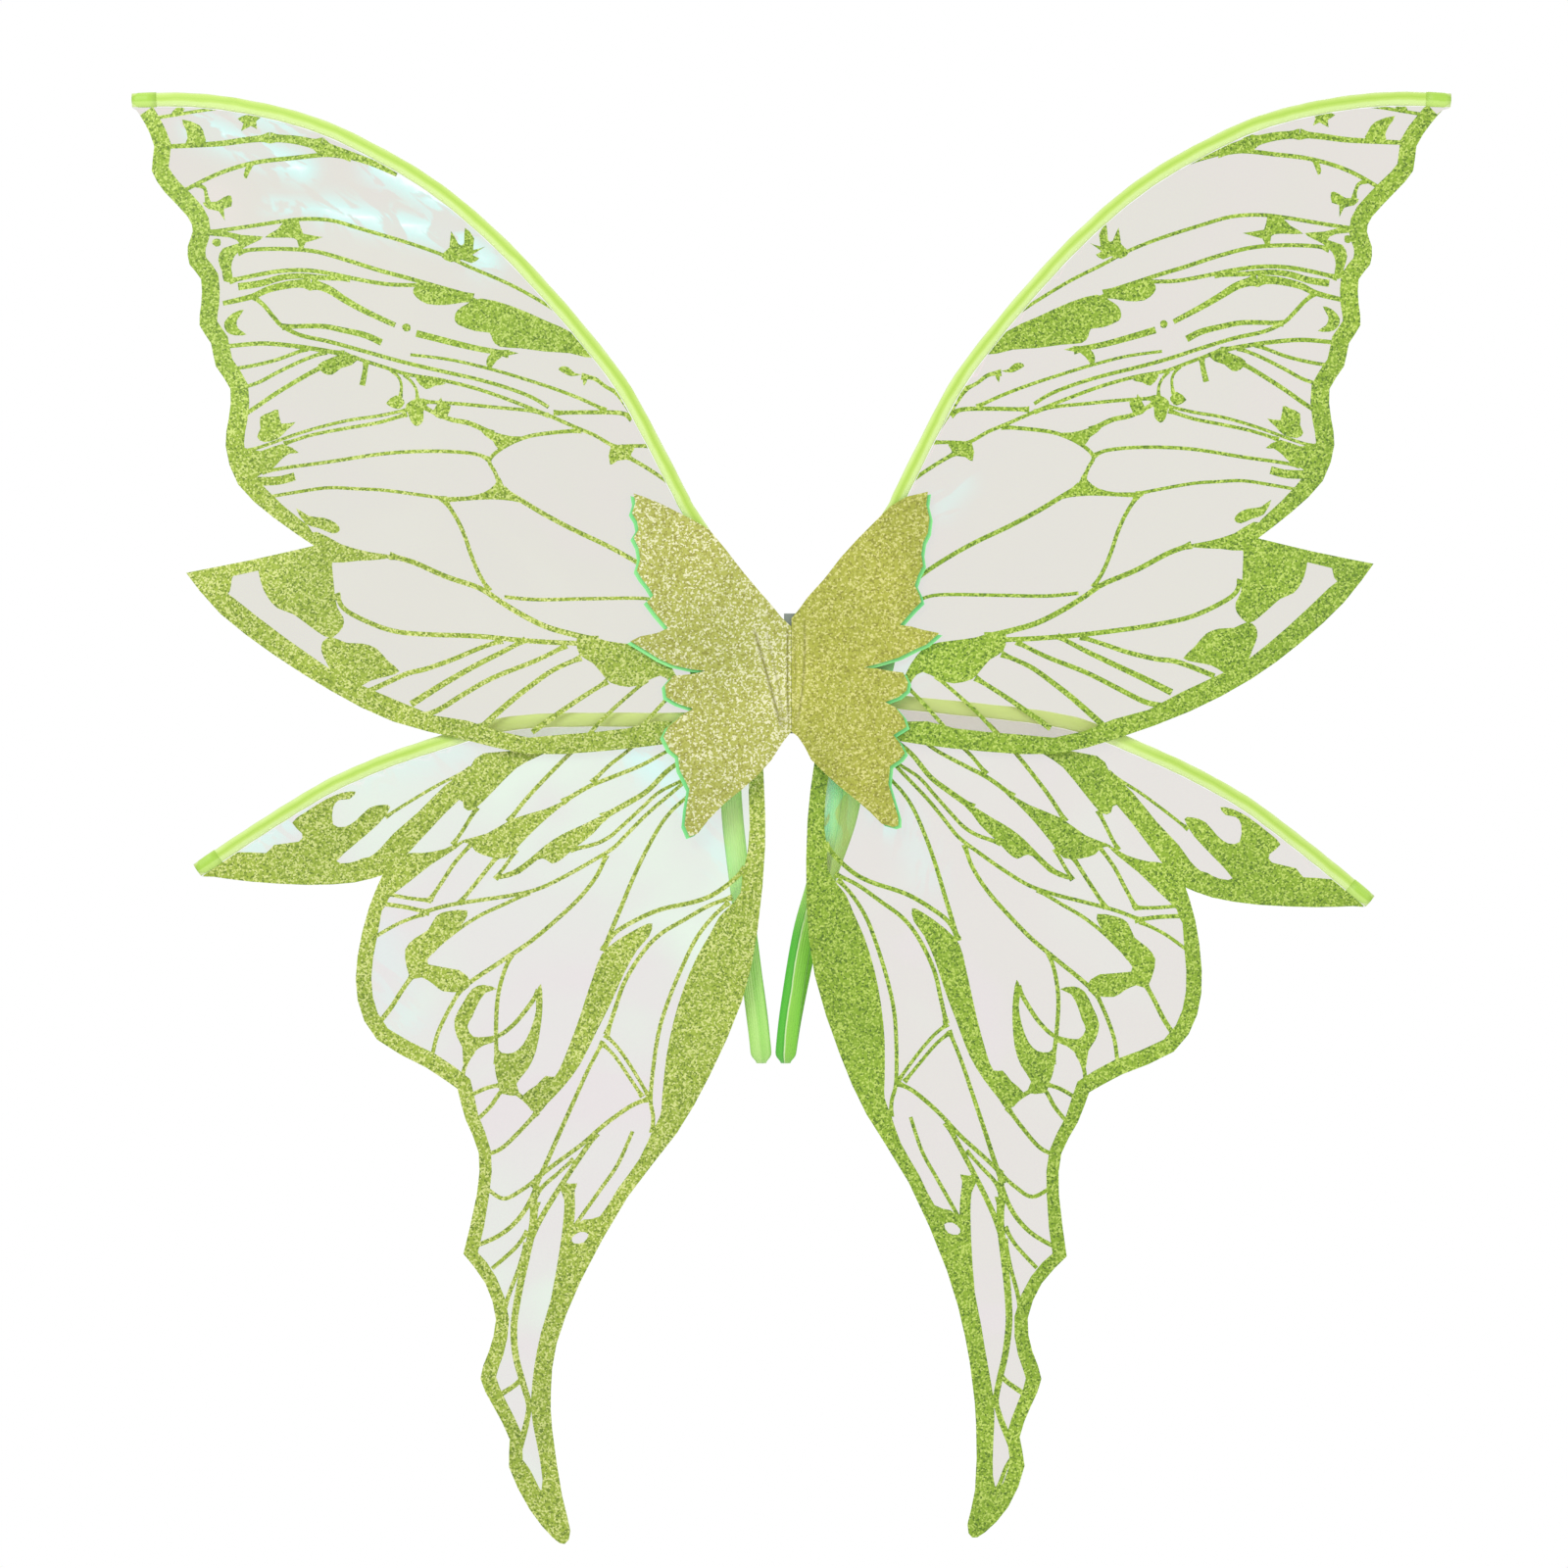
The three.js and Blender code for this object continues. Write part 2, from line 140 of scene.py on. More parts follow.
def finish(name, bm, materials, smooth=False):
    mesh = bpy.data.meshes.new(name)
    bm.to_mesh(mesh)
    bm.free()
    obj = bpy.data.objects.new(name, mesh)
    scene.collection.objects.link(obj)
    for material in materials:
        mesh.materials.append(material)
    for face in mesh.polygons:
        face.use_smooth = smooth
    return obj


def newMaterial(name):
    material = bpy.data.materials.new(name)
    material.use_nodes = True
    tree = material.node_tree
    shader = next(n for n in tree.nodes if n.type == 'BSDF_PRINCIPLED')
    place = addNode(tree, 'TexCoord')
    return material, tree, shader, place


def plainFloor():
    # matt paper, with a faint mottle
    material, tree, shader, place = newMaterial("studioPaper")
    noise = addNode(tree, 'TexNoise', {"Vector": (place, "Object"), "Scale": 3.0})
    shade = addNode(tree, 'ValToRGB', {0: (noise, 0)}, [(0, floorDisc["mottle"]), (1, floorDisc["color"])])
    fill(tree, shader, {"Base Color": (shade, 0), "Roughness": 0.9})
    return material


# printed glitter is polyester flake in clear ink, so each flake has its own tone and its own tilt; the fold colour is
# painted shade for the covers' crease valleys
glitter = {
    "printLeft": {
        "dark": "#6C8426", "mid": "#A2B840", "pale": "#D6DE8A", "fold": "#6F8728", "flake": 0.95, "pallor": 0.2},
    "printRight": {
        "dark": "#557618", "mid": "#8FB12D", "pale": "#C0D766", "fold": "#587819", "flake": 0.95, "pallor": 0.16},
    "coverLeft": {
        "dark": "#97953F", "mid": "#B5B856", "pale": "#E9E7BC", "fold": "#77742A", "flake": 1.0, "pallor": 0.15},
    "coverRight": {
        "dark": "#8F8E33", "mid": "#B0B344", "pale": "#D9D685", "fold": "#6F6C20", "flake": 1.0, "pallor": 0.13},
}


def glitterMaterial(name, look):
    # a real flake is 0.2 to 0.4 mm, drawn as coarse as it needs to show
    material, tree, shader, place = newMaterial(name)
    cells = addNode(tree, 'TexVoronoi', {"Vector": (place, "Object"), "Scale": 1 / (look["flake"] * mm)})
    tone = addNode(tree, 'SeparateColor', {0: (cells, "Color")})
    # painted highlight: paler flakes beside the creases and near the left half's seam
    paintedSparkleMask = addNode(tree, 'Attribute', attribute_name="paintedSparkle")
    lifted = addNode(tree, 'Math', {0: (paintedSparkleMask, "Fac"), 1: 0.2, 2: (tone, 0)}, operation='MULTIPLY_ADD')
    pale = 1 - look["pallor"]
    shade = addNode(tree, 'ValToRGB', {0: (lifted, 0)}, [
        (0.05, look["dark"]), (0.35, look["mid"]), (pale - 0.15, look["mid"]),
        (pale, look["pale"]), (1.0, look["pale"])])
    patch = addNode(tree, 'TexNoise', {"Vector": (place, "Object"), "Scale": 16.0, "Detail": 4.0})
    depth = addNode(tree, 'ValToRGB', {0: (patch, 0)}, [(0.35, (0.84, 0.87, 0.82, 1)), (0.62, (1, 1, 1, 1))])
    mottled = addNode(tree, 'Mix', {0: 1.0, 6: (shade, 0), 7: (depth, 0)},
                      data_type='RGBA', blend_type='MULTIPLY')
    # painted shade: crease valleys take the darker fold colour
    paintedCreaseShade = addNode(tree, 'Attribute', attribute_name="paintedCreaseShade")
    color = addNode(tree, 'Mix', {0: (paintedCreaseShade, "Fac"), 6: (mottled, 2), 7: look["fold"]},
                    data_type='RGBA')
    deep = addNode(tree, 'Attribute', attribute_name="deep")
    inked = addNode(tree, 'Mix', {0: (deep, "Fac"), 6: (color, 2), 7: (0.8, 0.93, 0.6, 1)},
                    data_type='RGBA', blend_type='MULTIPLY')
    tilt = addNode(tree, 'Bump', {"Height": (tone, 1), "Strength": 0.35, "Distance": 0.0004})
    fill(tree, shader, {"Base Color": (inked, 2), "Normal": (tilt, 0), "Metallic": 0.1, "Roughness": 0.42})
    return material


# the last two colours are painted highlights, cyan and white, laid into the film's colour along its folds
film = {"alpha": 0.17, "thick": 0.15, "grid": 5, "paintedShine": "#14F2E2", "paintedGlint": "#FFFFFF"}
# each film's tints are partly its own haze and partly painted iridescent reflection, drifting over the sheet
filmTints = {
    ("left", "upper"): ["#8A7A40", "#828024", "#868424", "#8A8C3C"],
    ("right", "upper"): ["#8E7E48", "#888238", "#8A843A", "#8A8638"],
    ("left", "lower"): ["#A48E8A", "#9CA688", "#9CC694", "#A6E0A4"],
    ("right", "lower"): ["#A08982", "#978C6A", "#998E6C", "#9A9E76"],
}
filmStreaks = {("left", "upper"): 32, ("right", "upper"): -32, ("left", "lower"): 42, ("right", "lower"): -80}


def filmMaterial(name, tints, heading):
    # polyester film with an iridescent coat: nearly clear, gently hazed, with drifting tints that are partly its own
    # haze and partly painted iridescent reflection, and with painted highlights, cyan streaks and white glints, along
    # its folds
    material, tree, shader, place = newMaterial(name)
    drift = addNode(tree, 'TexNoise', {
        "Vector": (place, "Object"), "Scale": 6.5, "Detail": 2.0, "Distortion": 1.4})
    shade = addNode(tree, 'ValToRGB', {0: (drift, 0)}, list(zip((0.33, 0.46, 0.56, 0.68), tints)))
    turned = addNode(tree, 'Mapping', {
        "Vector": (place, "Object"), "Rotation": (0, math.radians(heading), 0), "Scale": (3.2, 1, 1)},
        vector_type='TEXTURE')
    streak = addNode(tree, 'TexNoise', {
        "Vector": (turned, 0), "Scale": 88.0, "Detail": 3.0, "Distortion": 1.2})
    crest = addNode(tree, 'ValToRGB', {0: (streak, 0)}, [(0.43, (0.12, 0.12, 0.12, 1)), (0.48, (1, 1, 1, 1))])
    # painted highlight: cyan streaks along the folds, with white painted glints at their cores
    paintedShine = addNode(tree, 'Attribute', attribute_name="paintedShine")
    amount = addNode(tree, 'Math', {0: (paintedShine, "Fac"), 1: (crest, 0)}, operation='MULTIPLY')
    tinted = addNode(tree, 'Mix', {0: (amount, 0), 6: (shade, 0), 7: film["paintedShine"]},
                     data_type='RGBA')
    paintedGlint = addNode(tree, 'Math', {0: (amount, 0), 1: 14.0}, operation='POWER')
    lit = addNode(tree, 'Mix', {0: (paintedGlint, 0), 6: (tinted, 2), 7: film["paintedGlint"]},
                  data_type='RGBA')
    fill(tree, shader, {
        "Base Color": (lit, 2), "Roughness": 0.16, "IOR": 1.6, "Alpha": film["alpha"], "Thin Film Thickness": 480,
        "Thin Film IOR": 1.38})
    return material


# the last colour is painted light, laid on the lower casings where they lie behind the upper film
ribbon = {
    "edge": "#D4EA9C", "face": "#BCDB66", "channel": "#ABD04E", "hem": "#CFE990",
    "foldEdge": "#BEE070", "foldFace": "#A6D04A", "paintedLightBehindFilm": "#E8FFA4", "weave": 0.5,
}


def ribbonMaterial(name, edge, face, channel, hem):
    # woven satin ribbon, 2 threads a millimetre drawn coarse: a paler folded edge, the wire showing through as a
    # darker channel, and a doubled hem
    material, tree, shader, place = newMaterial(name)
    threads = addNode(tree, 'TexWave', {
        "Vector": (place, "Object"), "Scale": 1 / (ribbon["weave"] * 6 * mm), "Distortion": 1.5, "Detail": 2.0},
        bands_direction='DIAGONAL')
    across = addNode(tree, 'Attribute', attribute_name="across")
    cloud = addNode(tree, 'TexNoise', {"Vector": (place, "Object"), "Scale": 60.0, "Detail": 4.0})
    wander = addNode(tree, 'Math', {0: (cloud, 0), 1: 0.25, 2: (across, "Fac")}, operation='MULTIPLY_ADD')
    tone = addNode(tree, 'ValToRGB', {0: (wander, 0)}, [
        (0.12, edge), (0.32, face), (0.52, channel), (0.68, face),
        (0.8, hem), (1.0, edge)])
    # painted light: paler where a lower casing lies behind the upper film
    paintedLightMask = addNode(tree, 'Attribute', attribute_name="paintedLightBehindFilm")
    paintedLightTone = addNode(tree, 'Mix', {0: (paintedLightMask, "Fac"), 6: (tone, 0), 7: ribbon["paintedLightBehindFilm"]},
                    data_type='RGBA')
    bump = addNode(tree, 'Bump', {"Height": (threads, 1), "Strength": 0.12, "Distance": 0.0003})
    fill(tree, shader, {"Base Color": (paintedLightTone, 2), "Normal": (bump, 0), "Roughness": 0.45, "Sheen Weight": 0.15})
    return material


def foamMaterial(name, face, shade):
    # closed-cell foam sheet: matt, with fine pores
    material, tree, shader, place = newMaterial(name)
    pores = addNode(tree, 'TexNoise', {"Vector": (place, "Object"), "Scale": 900.0, "Detail": 2.0})
    cloud = addNode(tree, 'TexNoise', {"Vector": (place, "Object"), "Scale": 30.0})
    tone = addNode(tree, 'ValToRGB', {0: (cloud, 0)}, [(0.3, shade), (0.7, face)])
    bump = addNode(tree, 'Bump', {"Height": (pores, 0), "Strength": 0.2, "Distance": 0.0003})
    fill(tree, shader, {"Base Color": (tone, 0), "Normal": (bump, 0), "Roughness": 0.75})
    return material


def metalMaterial(name, face, rough):
    # drawn or rolled metal with fine scratches
    material, tree, shader, place = newMaterial(name)
    scratch = addNode(tree, 'TexNoise', {"Vector": (place, "Object"), "Scale": 1500.0, "Detail": 2.0})
    tone = addNode(tree, 'ValToRGB', {0: (scratch, 0)}, [(0.3, face), (0.7, "#DADCDB")])
    fill(tree, shader, {"Base Color": (tone, 0), "Metallic": 1.0, "Roughness": rough})
    return material


elasticTones = {
    "left": [
        (0.0, "#8FD65C"), (0.1, "#ACE472"), (0.5, "#BCEA84"), (0.62, "#A0DD68"), (0.9, "#B0E678"),
        (1.0, "#94D65E")],
    # the right loop's darker half is painted shade on its twisted face, and its pale stop at 0.48 a painted highlight
    # along the pleat
    "right": [
        (0.0, "#46B52A"), (0.35, "#58C032"), (0.44, "#46AC26"), (0.48, "#DDF3B8"), (0.53, "#8ED148"),
        (1.0, "#7CCB38")],
    # painted light: the paler tones laid on the top of each loop, behind the film
    "top": [(0.0, "#B8F070"), (0.15, "#D2FC86"), (0.5, "#DEFF98"), (0.85, "#D2FC86"), (1.0, "#B8F070")],
}


def elasticMaterial(name, tones):
    # satin elastic: fine ribs along its length, with painted shade where a pleat shades one side of it low down
    # and painted light at the top: it is painted paler there, where the drawn film and the pieces in front darken it
    material, tree, shader, place = newMaterial(name)
    across = addNode(tree, 'Attribute', attribute_name="across")
    grain = addNode(tree, 'TexNoise', {"Vector": (place, "Object"), "Scale": 70.0, "Detail": 4.0})
    wander = addNode(tree, 'Math', {0: (grain, 0), 1: 0.12, 2: (across, "Fac")}, operation='MULTIPLY_ADD')
    tone = addNode(tree, 'ValToRGB', {0: (wander, 0)}, tones)
    high = addNode(tree, 'ValToRGB', {0: (wander, 0)}, elasticTones["top"])
    low = addNode(tree, 'Attribute', attribute_name="low")
    elasticPaintedTone = addNode(tree, 'Mix', {0: (low, "Fac"), 6: (high, 0), 7: (tone, 0)}, data_type='RGBA')
    ribs = addNode(tree, 'Math', {0: (across, "Fac"), 1: 62.0}, operation='MULTIPLY')
    comb = addNode(tree, 'Math', {0: (ribs, 0)}, operation='SINE')
    bump = addNode(tree, 'Bump', {"Height": (comb, 0), "Strength": 0.35, "Distance": 0.0004})
    fill(tree, shader, {"Base Color": (elasticPaintedTone, 2), "Normal": (bump, 0), "Roughness": 0.35, "Sheen Weight": 0.25})
    return material


# drawings in mm: u runs outward from the spine, v up

roots = {
    "upper": {"left": (16, 28), "right": (16, 28)},
    "lower": {"left": (22, -22), "right": (24, -7)},
}
lowerTurn = {"left": 0, "right": 5.8}  # degrees down, about the eyelet
layers = {"upper": -9.4, "lower": -4.4}  # y of each wing's wire and film

upperLead = [
    (32, 57), (60, 99), (68, 115), (86, 151), (103, 182), (129, 216), (154, 245), (177, 269), (203, 292),
    (227, 309), (252, 323), (277, 335), (301, 343), (326, 348.5), (351, 352), (375, 353), (402, 352)]
lowerLead = [
    (48, -24.5), (70, -25.5), (120, -25.5), (150, -26), (176, -28.5), (200, -35), (219, -41), (240, -48),
    (259, -55.5), (280, -65), (300, -76.5), (320, -89), (340, -102), (363, -117.5)]


def smoothstep(x, low, high):
    t = min(max((x - low) / (high - low), 0), 1)
    return t * t * (3 - 2 * t)


def handShaped(side, level, u, v):
    # the two sides were bent and sewn by hand and differ a little
    if level == "upper" and side == "left":
        outer = smoothstep(u + 0.5 * v, 260, 400) * min(max((356 - v) / 60, 0), 1)
        low = smoothstep(u, 180, 260) * min(max((150 - v) / 100, 0), 1)
        held = math.exp(-((u - 305) ** 2 + (v - 250) ** 2) / 45 ** 2)
        tip = math.exp(-((u - 323) ** 2 + (v - 341) ** 2) / 28 ** 2)
        return u + 14 * outer - 6.5 * held + 3.5 * tip, v - 7 * low - 2.2
    if level == "lower" and side == "right":
        return u + 22 * smoothstep(-v, 400, 529), v
    return u, v


def placed(side, level, u, v):
    # a drawing's point to x and z in mm
    drawn = roots[level]["left"]
    root = roots[level][side]
    angle = math.radians(lowerTurn[side]) if level == "lower" else 0
    du, dv = u - drawn[0], v - drawn[1]
    turnedU = du * math.cos(angle) + dv * math.sin(angle)
    turnedV = dv * math.cos(angle) - du * math.sin(angle)
    out = outward[side]
    return out * (root[0] + turnedU), root[1] + turnedV


def leadPoints(side, level):
    # the leading edge's centre line
    drawing = upperLead if level == "upper" else lowerLead
    points = []
    for i, (u, v) in enumerate(drawing):
        if level == "upper" and side == "left":
            inward = 3.5 * math.sin(i / (len(drawing) - 1) * math.pi) * math.sqrt(0.5)
            u, v = u + inward, v - inward
        points.append(placed(side, level, u, v))
    return points


def smoothLine(points, perStep, closed=False):
    # a soft curve through points, of any number of values each
    count = len(points)
    made = []
    for i in range(count if closed else count - 1):
        if closed:
            a, b, c, d = (points[(i + k) % count] for k in (-1, 0, 1, 2))
        else:
            a, b, c, d = (points[min(max(i + k, 0), count - 1)] for k in (-1, 0, 1, 2))
        for s in range(perStep):
            t = s / perStep
            made.append(tuple(
                0.5 * (2 * q + (r - p) * t + (2 * p - 5 * q + 4 * r - w) * t * t + (3 * q - p - 3 * r + w) * t ** 3)
                for p, q, r, w in zip(a, b, c, d)))
    if not closed:
        made.append(tuple(points[-1]))
    return made


# u and v in turn: border keys are (u, v, width), a vein is (width at the start, width at the end, [u, v, u, v...]),
# and the rest are filled shapes
upperPrint = {
    "border": [(397, 346, 9.5), (381, 315, 10.5), (354, 281, 11), (350, 255, 11), (346, 228, 11), (337, 190, 11),
        (329, 158, 11.5), (324, 125, 11), (300, 97, 9.5), (300, 80, 7), (335, 74, 7), (353, 68, 11), (330, 40, 13),
        (300, 14, 12.5), (285, 3, 10.5), (243, -20, 13), (222, -29, 10), (200, -36, 12), (178, -42, 10),
        (120, -46, 12), (100, -43, 12), (80, -41, 15), (50, -36, 10)],
    "veins": [
        (1.8, 2.2, [138, 222, 150, 230, 170, 242, 190, 252, 205, 260, 225, 268, 250, 276, 268, 281, 285, 282, 300,
         280.5, 322, 277, 345, 273.5]),
        (2.4, 2.2, [190, 234.5, 210, 241, 225, 246, 240, 250.5, 260, 257, 280, 262, 300, 263.5, 320, 263, 328, 261]),
        (2.2, 2.4, [214, 241.5, 235, 242, 255, 245.5, 270, 248.5, 287, 250.5, 303, 250, 318, 247.5, 333, 244]),
        (2.4, 4.2, [258, 245.5, 275, 246, 290, 247, 303, 246, 315, 242.5, 328, 240.5]),
        (2.8, 5.2, [233, 217, 250, 226, 262, 233, 272, 239, 284, 242.5]),
        (5.2, 2.6, [284, 242.5, 296, 242, 310, 239, 320, 234.5, 336, 230.5]),
        (2.4, 2.0, [320, 235, 313, 229.5, 306, 222, 300, 216.5, 288, 211, 270, 207, 250, 201, 230, 194.5, 210, 189,
         190, 184, 172, 178.5, 158, 173, 148, 167]),
        (4.0, 2.4, [241, 206.5, 250, 211, 262, 214, 276, 216.5, 300, 216]),
        (4.0, 3.0, [222, 212, 205, 207, 190, 203, 172, 199.5]),
        (1.6, 2.0, [226, 199, 205, 196, 185, 191, 165, 185, 145, 178.5, 128, 172, 113, 165]),
        (2.6, 2.2, [97, 160, 104, 163.5, 122, 164, 145, 163.5]),
        (1.8, 2.0, [148, 162, 160, 165, 180, 167, 200, 169, 222, 170.5]),
        (2.0, 2.0, [85, 143.5, 98, 143.5, 108, 143.5, 120, 150, 132, 155, 148, 162, 168, 170, 190, 178, 210, 183.5,
         228, 187, 243, 192.5, 262, 199.5]),
        (2.6, 2.4, [262, 199.5, 275, 202, 292, 204.5, 312, 206, 335, 204]),
        (2.2, 2.0, [128, 153, 150, 151, 163, 148.5, 176, 142.5, 184, 135, 181, 128, 178, 121]),
        (3.0, 2.2, [182, 150.5, 195, 157, 206, 159.5, 214, 163, 222, 168]),
        (1.5, 1.5, [230, 187, 226, 182, 224, 177, 224, 171]),
        (1.5, 1.5, [237, 190, 233, 185, 232, 180, 233, 173]),
        (1.8, 1.7, [228, 166, 245, 162, 260, 159.5, 275, 155.5, 290, 150.5, 305, 145, 318, 141]),
        (2.0, 1.8, [230, 163, 245, 158, 262, 154.5, 280, 150.5, 297, 145]),
        (2.0, 2.0, [272, 201, 285, 196, 300, 188.5, 312, 182, 325, 178]),
        (2.0, 2.0, [283, 203, 292, 199.5, 303, 195.5, 318, 192, 332, 190]),
        (2.6, 2.4, [272, 193, 282, 187.5, 300, 176, 312, 167.5, 325, 159]),
        (2.4, 3.4, [250, 196, 251, 189, 253, 180.5]),
        (1.8, 1.8, [210, 112, 225, 115, 245, 118.5, 260, 119.5, 275, 120, 292, 117.5, 312, 114]),
        (2.0, 1.9, [184, 135, 192, 138.5, 208, 140.3, 228, 140.5, 248, 139, 275, 134.5, 296, 131.5, 310, 129]),
        (4.6, 5.4, [292, 126.5, 303, 124, 324, 124]),
        (2.4, 2.8, [70, 54, 80, 63, 95, 73, 112, 82.5, 132, 92, 150, 101.5, 165, 110.5, 176, 117]),
        (2.2, 2.2, [211, 111, 204, 100, 199, 89, 195, 77, 190, 65, 184, 55]),
        (1.8, 2.0, [77, 47, 90, 50.5, 125, 50.3, 155, 49.8, 175, 51.5]),
        (3.2, 2.8, [118, 25, 135, 29, 150, 33.5, 165, 41, 178, 49, 190, 57, 210, 65.5, 230, 76, 244, 81]),
        (2.8, 2.6, [126, 23, 150, 24, 175, 26, 200, 29, 220, 32, 243, 37, 262, 45.5, 271, 52, 274, 60]),
        (2.4, 3.0, [176, 25, 190, 20.5, 205, 15.5, 222, 11.5, 236, 9.5, 258, 1]),
        (2.4, 4.0, [162, 25.5, 180, 16, 200, 6.5, 216, -1, 232, -9]),
        (2.4, 3.2, [137, 22, 155, 13, 180, 3, 200, -7, 215, -14.5, 226, -17]),
        (2.4, 3.6, [128, 14.5, 145, 7, 158, -2, 172, -13, 190, -29]),
        (2.4, 3.2, [112, 0, 128, -10, 142, -19.5, 158, -31]),
        (2.0, 2.2, [88, 1, 102, -11, 114, -22, 125, -34]),
        (2.0, 2.2, [70, -5, 78, -13, 88, -24, 95, -32]),
        (2.4, 6.0, [230, 309, 245, 315.5, 262, 321, 280, 326.5]),
        (6.0, 4.0, [280, 326.5, 295, 330, 310, 331.3]),
        (4.0, 2.4, [310, 331.3, 323, 330, 338, 328, 355, 327, 375, 326]),
        (2.6, 2.2, [260, 319, 275, 321, 295, 319, 315, 316.5, 332, 312, 345, 306.5, 358, 299]),
        (1.9, 1.9, [351, 303, 346, 301, 344, 297, 343, 292]),
        (1.7, 1.9, [345, 349.5, 360, 347.5, 372, 345.5, 384, 343.5]),
        (1.8, 2.4, [106, 176, 113, 179.5, 120, 184.5, 128, 186]),
        (3.0, 2.2, [70, 116, 84, 142, 98, 164, 107, 177]),
        (2.0, 2.2, [66, 112, 75, 121, 88, 130, 101, 137.5]),
    ],
    "shapes": [
        [119, 197, 131, 211, 150, 220, 170, 229, 186, 233.5, 194, 230, 199, 226.5, 201, 222, 199.5, 217.5, 190, 213.5,
         182.5, 212.5, 181, 208, 177, 204, 165, 203, 150, 201, 135, 200],
        [186, 232, 196, 231, 205, 229.5, 215, 230, 221, 234.5, 222, 239, 217, 242.5, 203, 239],
        [182, 265, 188.5, 263, 187.5, 270, 192, 276.5, 193, 267, 196, 266.5, 199.5, 274.5, 201, 264.5, 206, 259.5,
         201, 255.5, 195, 257, 190, 255, 185.5, 258, 189, 260],
        [166, 200, 176, 198, 181, 193, 183, 190, 185, 193, 184, 198, 178, 202],
        [163, 149, 171, 149.5, 181, 152, 191, 156, 187, 150, 182, 146.5, 179, 142, 173, 145],
        [218, 171, 224, 172.5, 230, 169, 230, 165, 228, 158, 225, 155.5, 221.5, 159, 221, 165],
        [206, 168, 210, 169, 211, 173, 214, 168, 216, 163, 212, 160, 208, 162],
        [231, 171, 235, 174.5, 241, 169.5, 235, 166, 232, 168],
        [208, 181.5, 214, 180, 219, 178, 224, 184, 220, 186],
        [254, 198, 262, 199.5, 270, 197, 277, 193, 274, 188, 269, 187, 264, 191, 258, 193],
        [324, 226.5, 330, 224.5, 334.5, 219, 333, 213.5, 328, 211, 321, 211.5, 326, 215, 327.5, 220],
        [225, 217, 227.5, 218, 229.5, 216, 228, 213.2, 225.2, 213.8],
        [276, 86, 300, 80, 314, 79, 314, 67, 311, 58, 306, 51.5, 298, 48, 290, 41, 282, 34.5, 277, 34, 271.5, 40, 271,
         46, 274, 52, 275, 62, 275.5, 76],
        [328.5, 76, 356, 70, 345, 55, 336, 45, 331, 49, 334, 56.5, 331, 61, 329.5, 68],
        [239, 12, 246, 19, 253, 27, 261, 30, 270, 30.5, 278, 34, 283, 31, 284, 25, 281, 17, 277, 8, 268, 1, 263, 3.5,
         256, 7.5, 246, 9.5],
        [240, 80.5, 255, 83.5, 270, 88, 282, 95, 292, 92, 286, 84, 276, 77.5, 262, 78.5, 250, 79],
        [270, 96, 274, 94, 281, 97, 288, 99.5, 292.5, 108.5, 286, 104, 278, 103, 272, 100],
        [290, 158, 298, 157, 299.5, 165.5, 304, 164, 310, 161, 310, 154, 312, 149, 308, 146, 300, 148, 295, 153],
        [289, 140, 298, 145, 310, 141, 320, 143, 334, 146, 332, 122, 318, 112, 308, 106, 312, 118, 315, 125, 304, 131,
         299, 136, 294, 139.5],
        [162, 108.5, 170, 114, 175, 118.5, 178, 124, 181, 120, 187, 115.5, 198, 113, 213, 113, 213, 110, 198, 110.5,
         182, 111, 170, 110],
        [66, -8, 70, 3, 76, 13, 84, 20, 97, 22.5, 112, 24.5, 128, 29, 131, 24, 129, 16, 121, 11, 115, 4, 110, -1, 99,
         -3.5, 90, -1, 80, 3.5, 74, -1, 71, -7],
        [313, 317.5, 318, 314, 321, 306.5, 323, 309, 320.5, 316],
        [329, 296, 333, 295.5, 338, 292.5, 346, 292, 343, 288, 337, 286.5, 334, 280.5, 334, 288, 329.5, 289.5],
        [316, 345.5, 322, 346.5, 326, 345.5, 331.5, 343, 327, 340, 327.5, 335.5, 322, 338.5, 318, 336.5, 319.5,
         341.5],
        [350, 327.5, 351.5, 333, 356, 339, 368, 342.5, 364, 336, 362, 331, 362, 326.5],
        [368, 349, 373, 350, 376, 345, 371, 344.5],
        [275, 271, 288, 273, 290, 281, 298, 281, 304, 275.5, 312, 270.5, 298, 270.5, 292.5, 269, 291.5, 263, 288.5,
         263, 287, 267.5],
        [313, 271, 325, 272, 338, 275, 345, 272, 332, 270.5, 327, 267, 336, 264, 339, 257, 337, 250, 336, 244, 331,
         244, 332, 252, 330, 259, 324, 264.5, 318, 267.5],
        [337.5, 269.5, 341, 269.5, 342, 267, 340, 265, 337.5, 265.8],
        [128, 187, 134, 186, 138, 187.5, 142, 190, 140, 192, 136, 191.5, 132, 188],
        [124, 185, 127, 185, 126.5, 180],
        [96, 143.5, 110, 143.5, 110.5, 132, 106, 134.5, 99, 135.5, 97.5, 139],
    ],
    "clear": [],
}

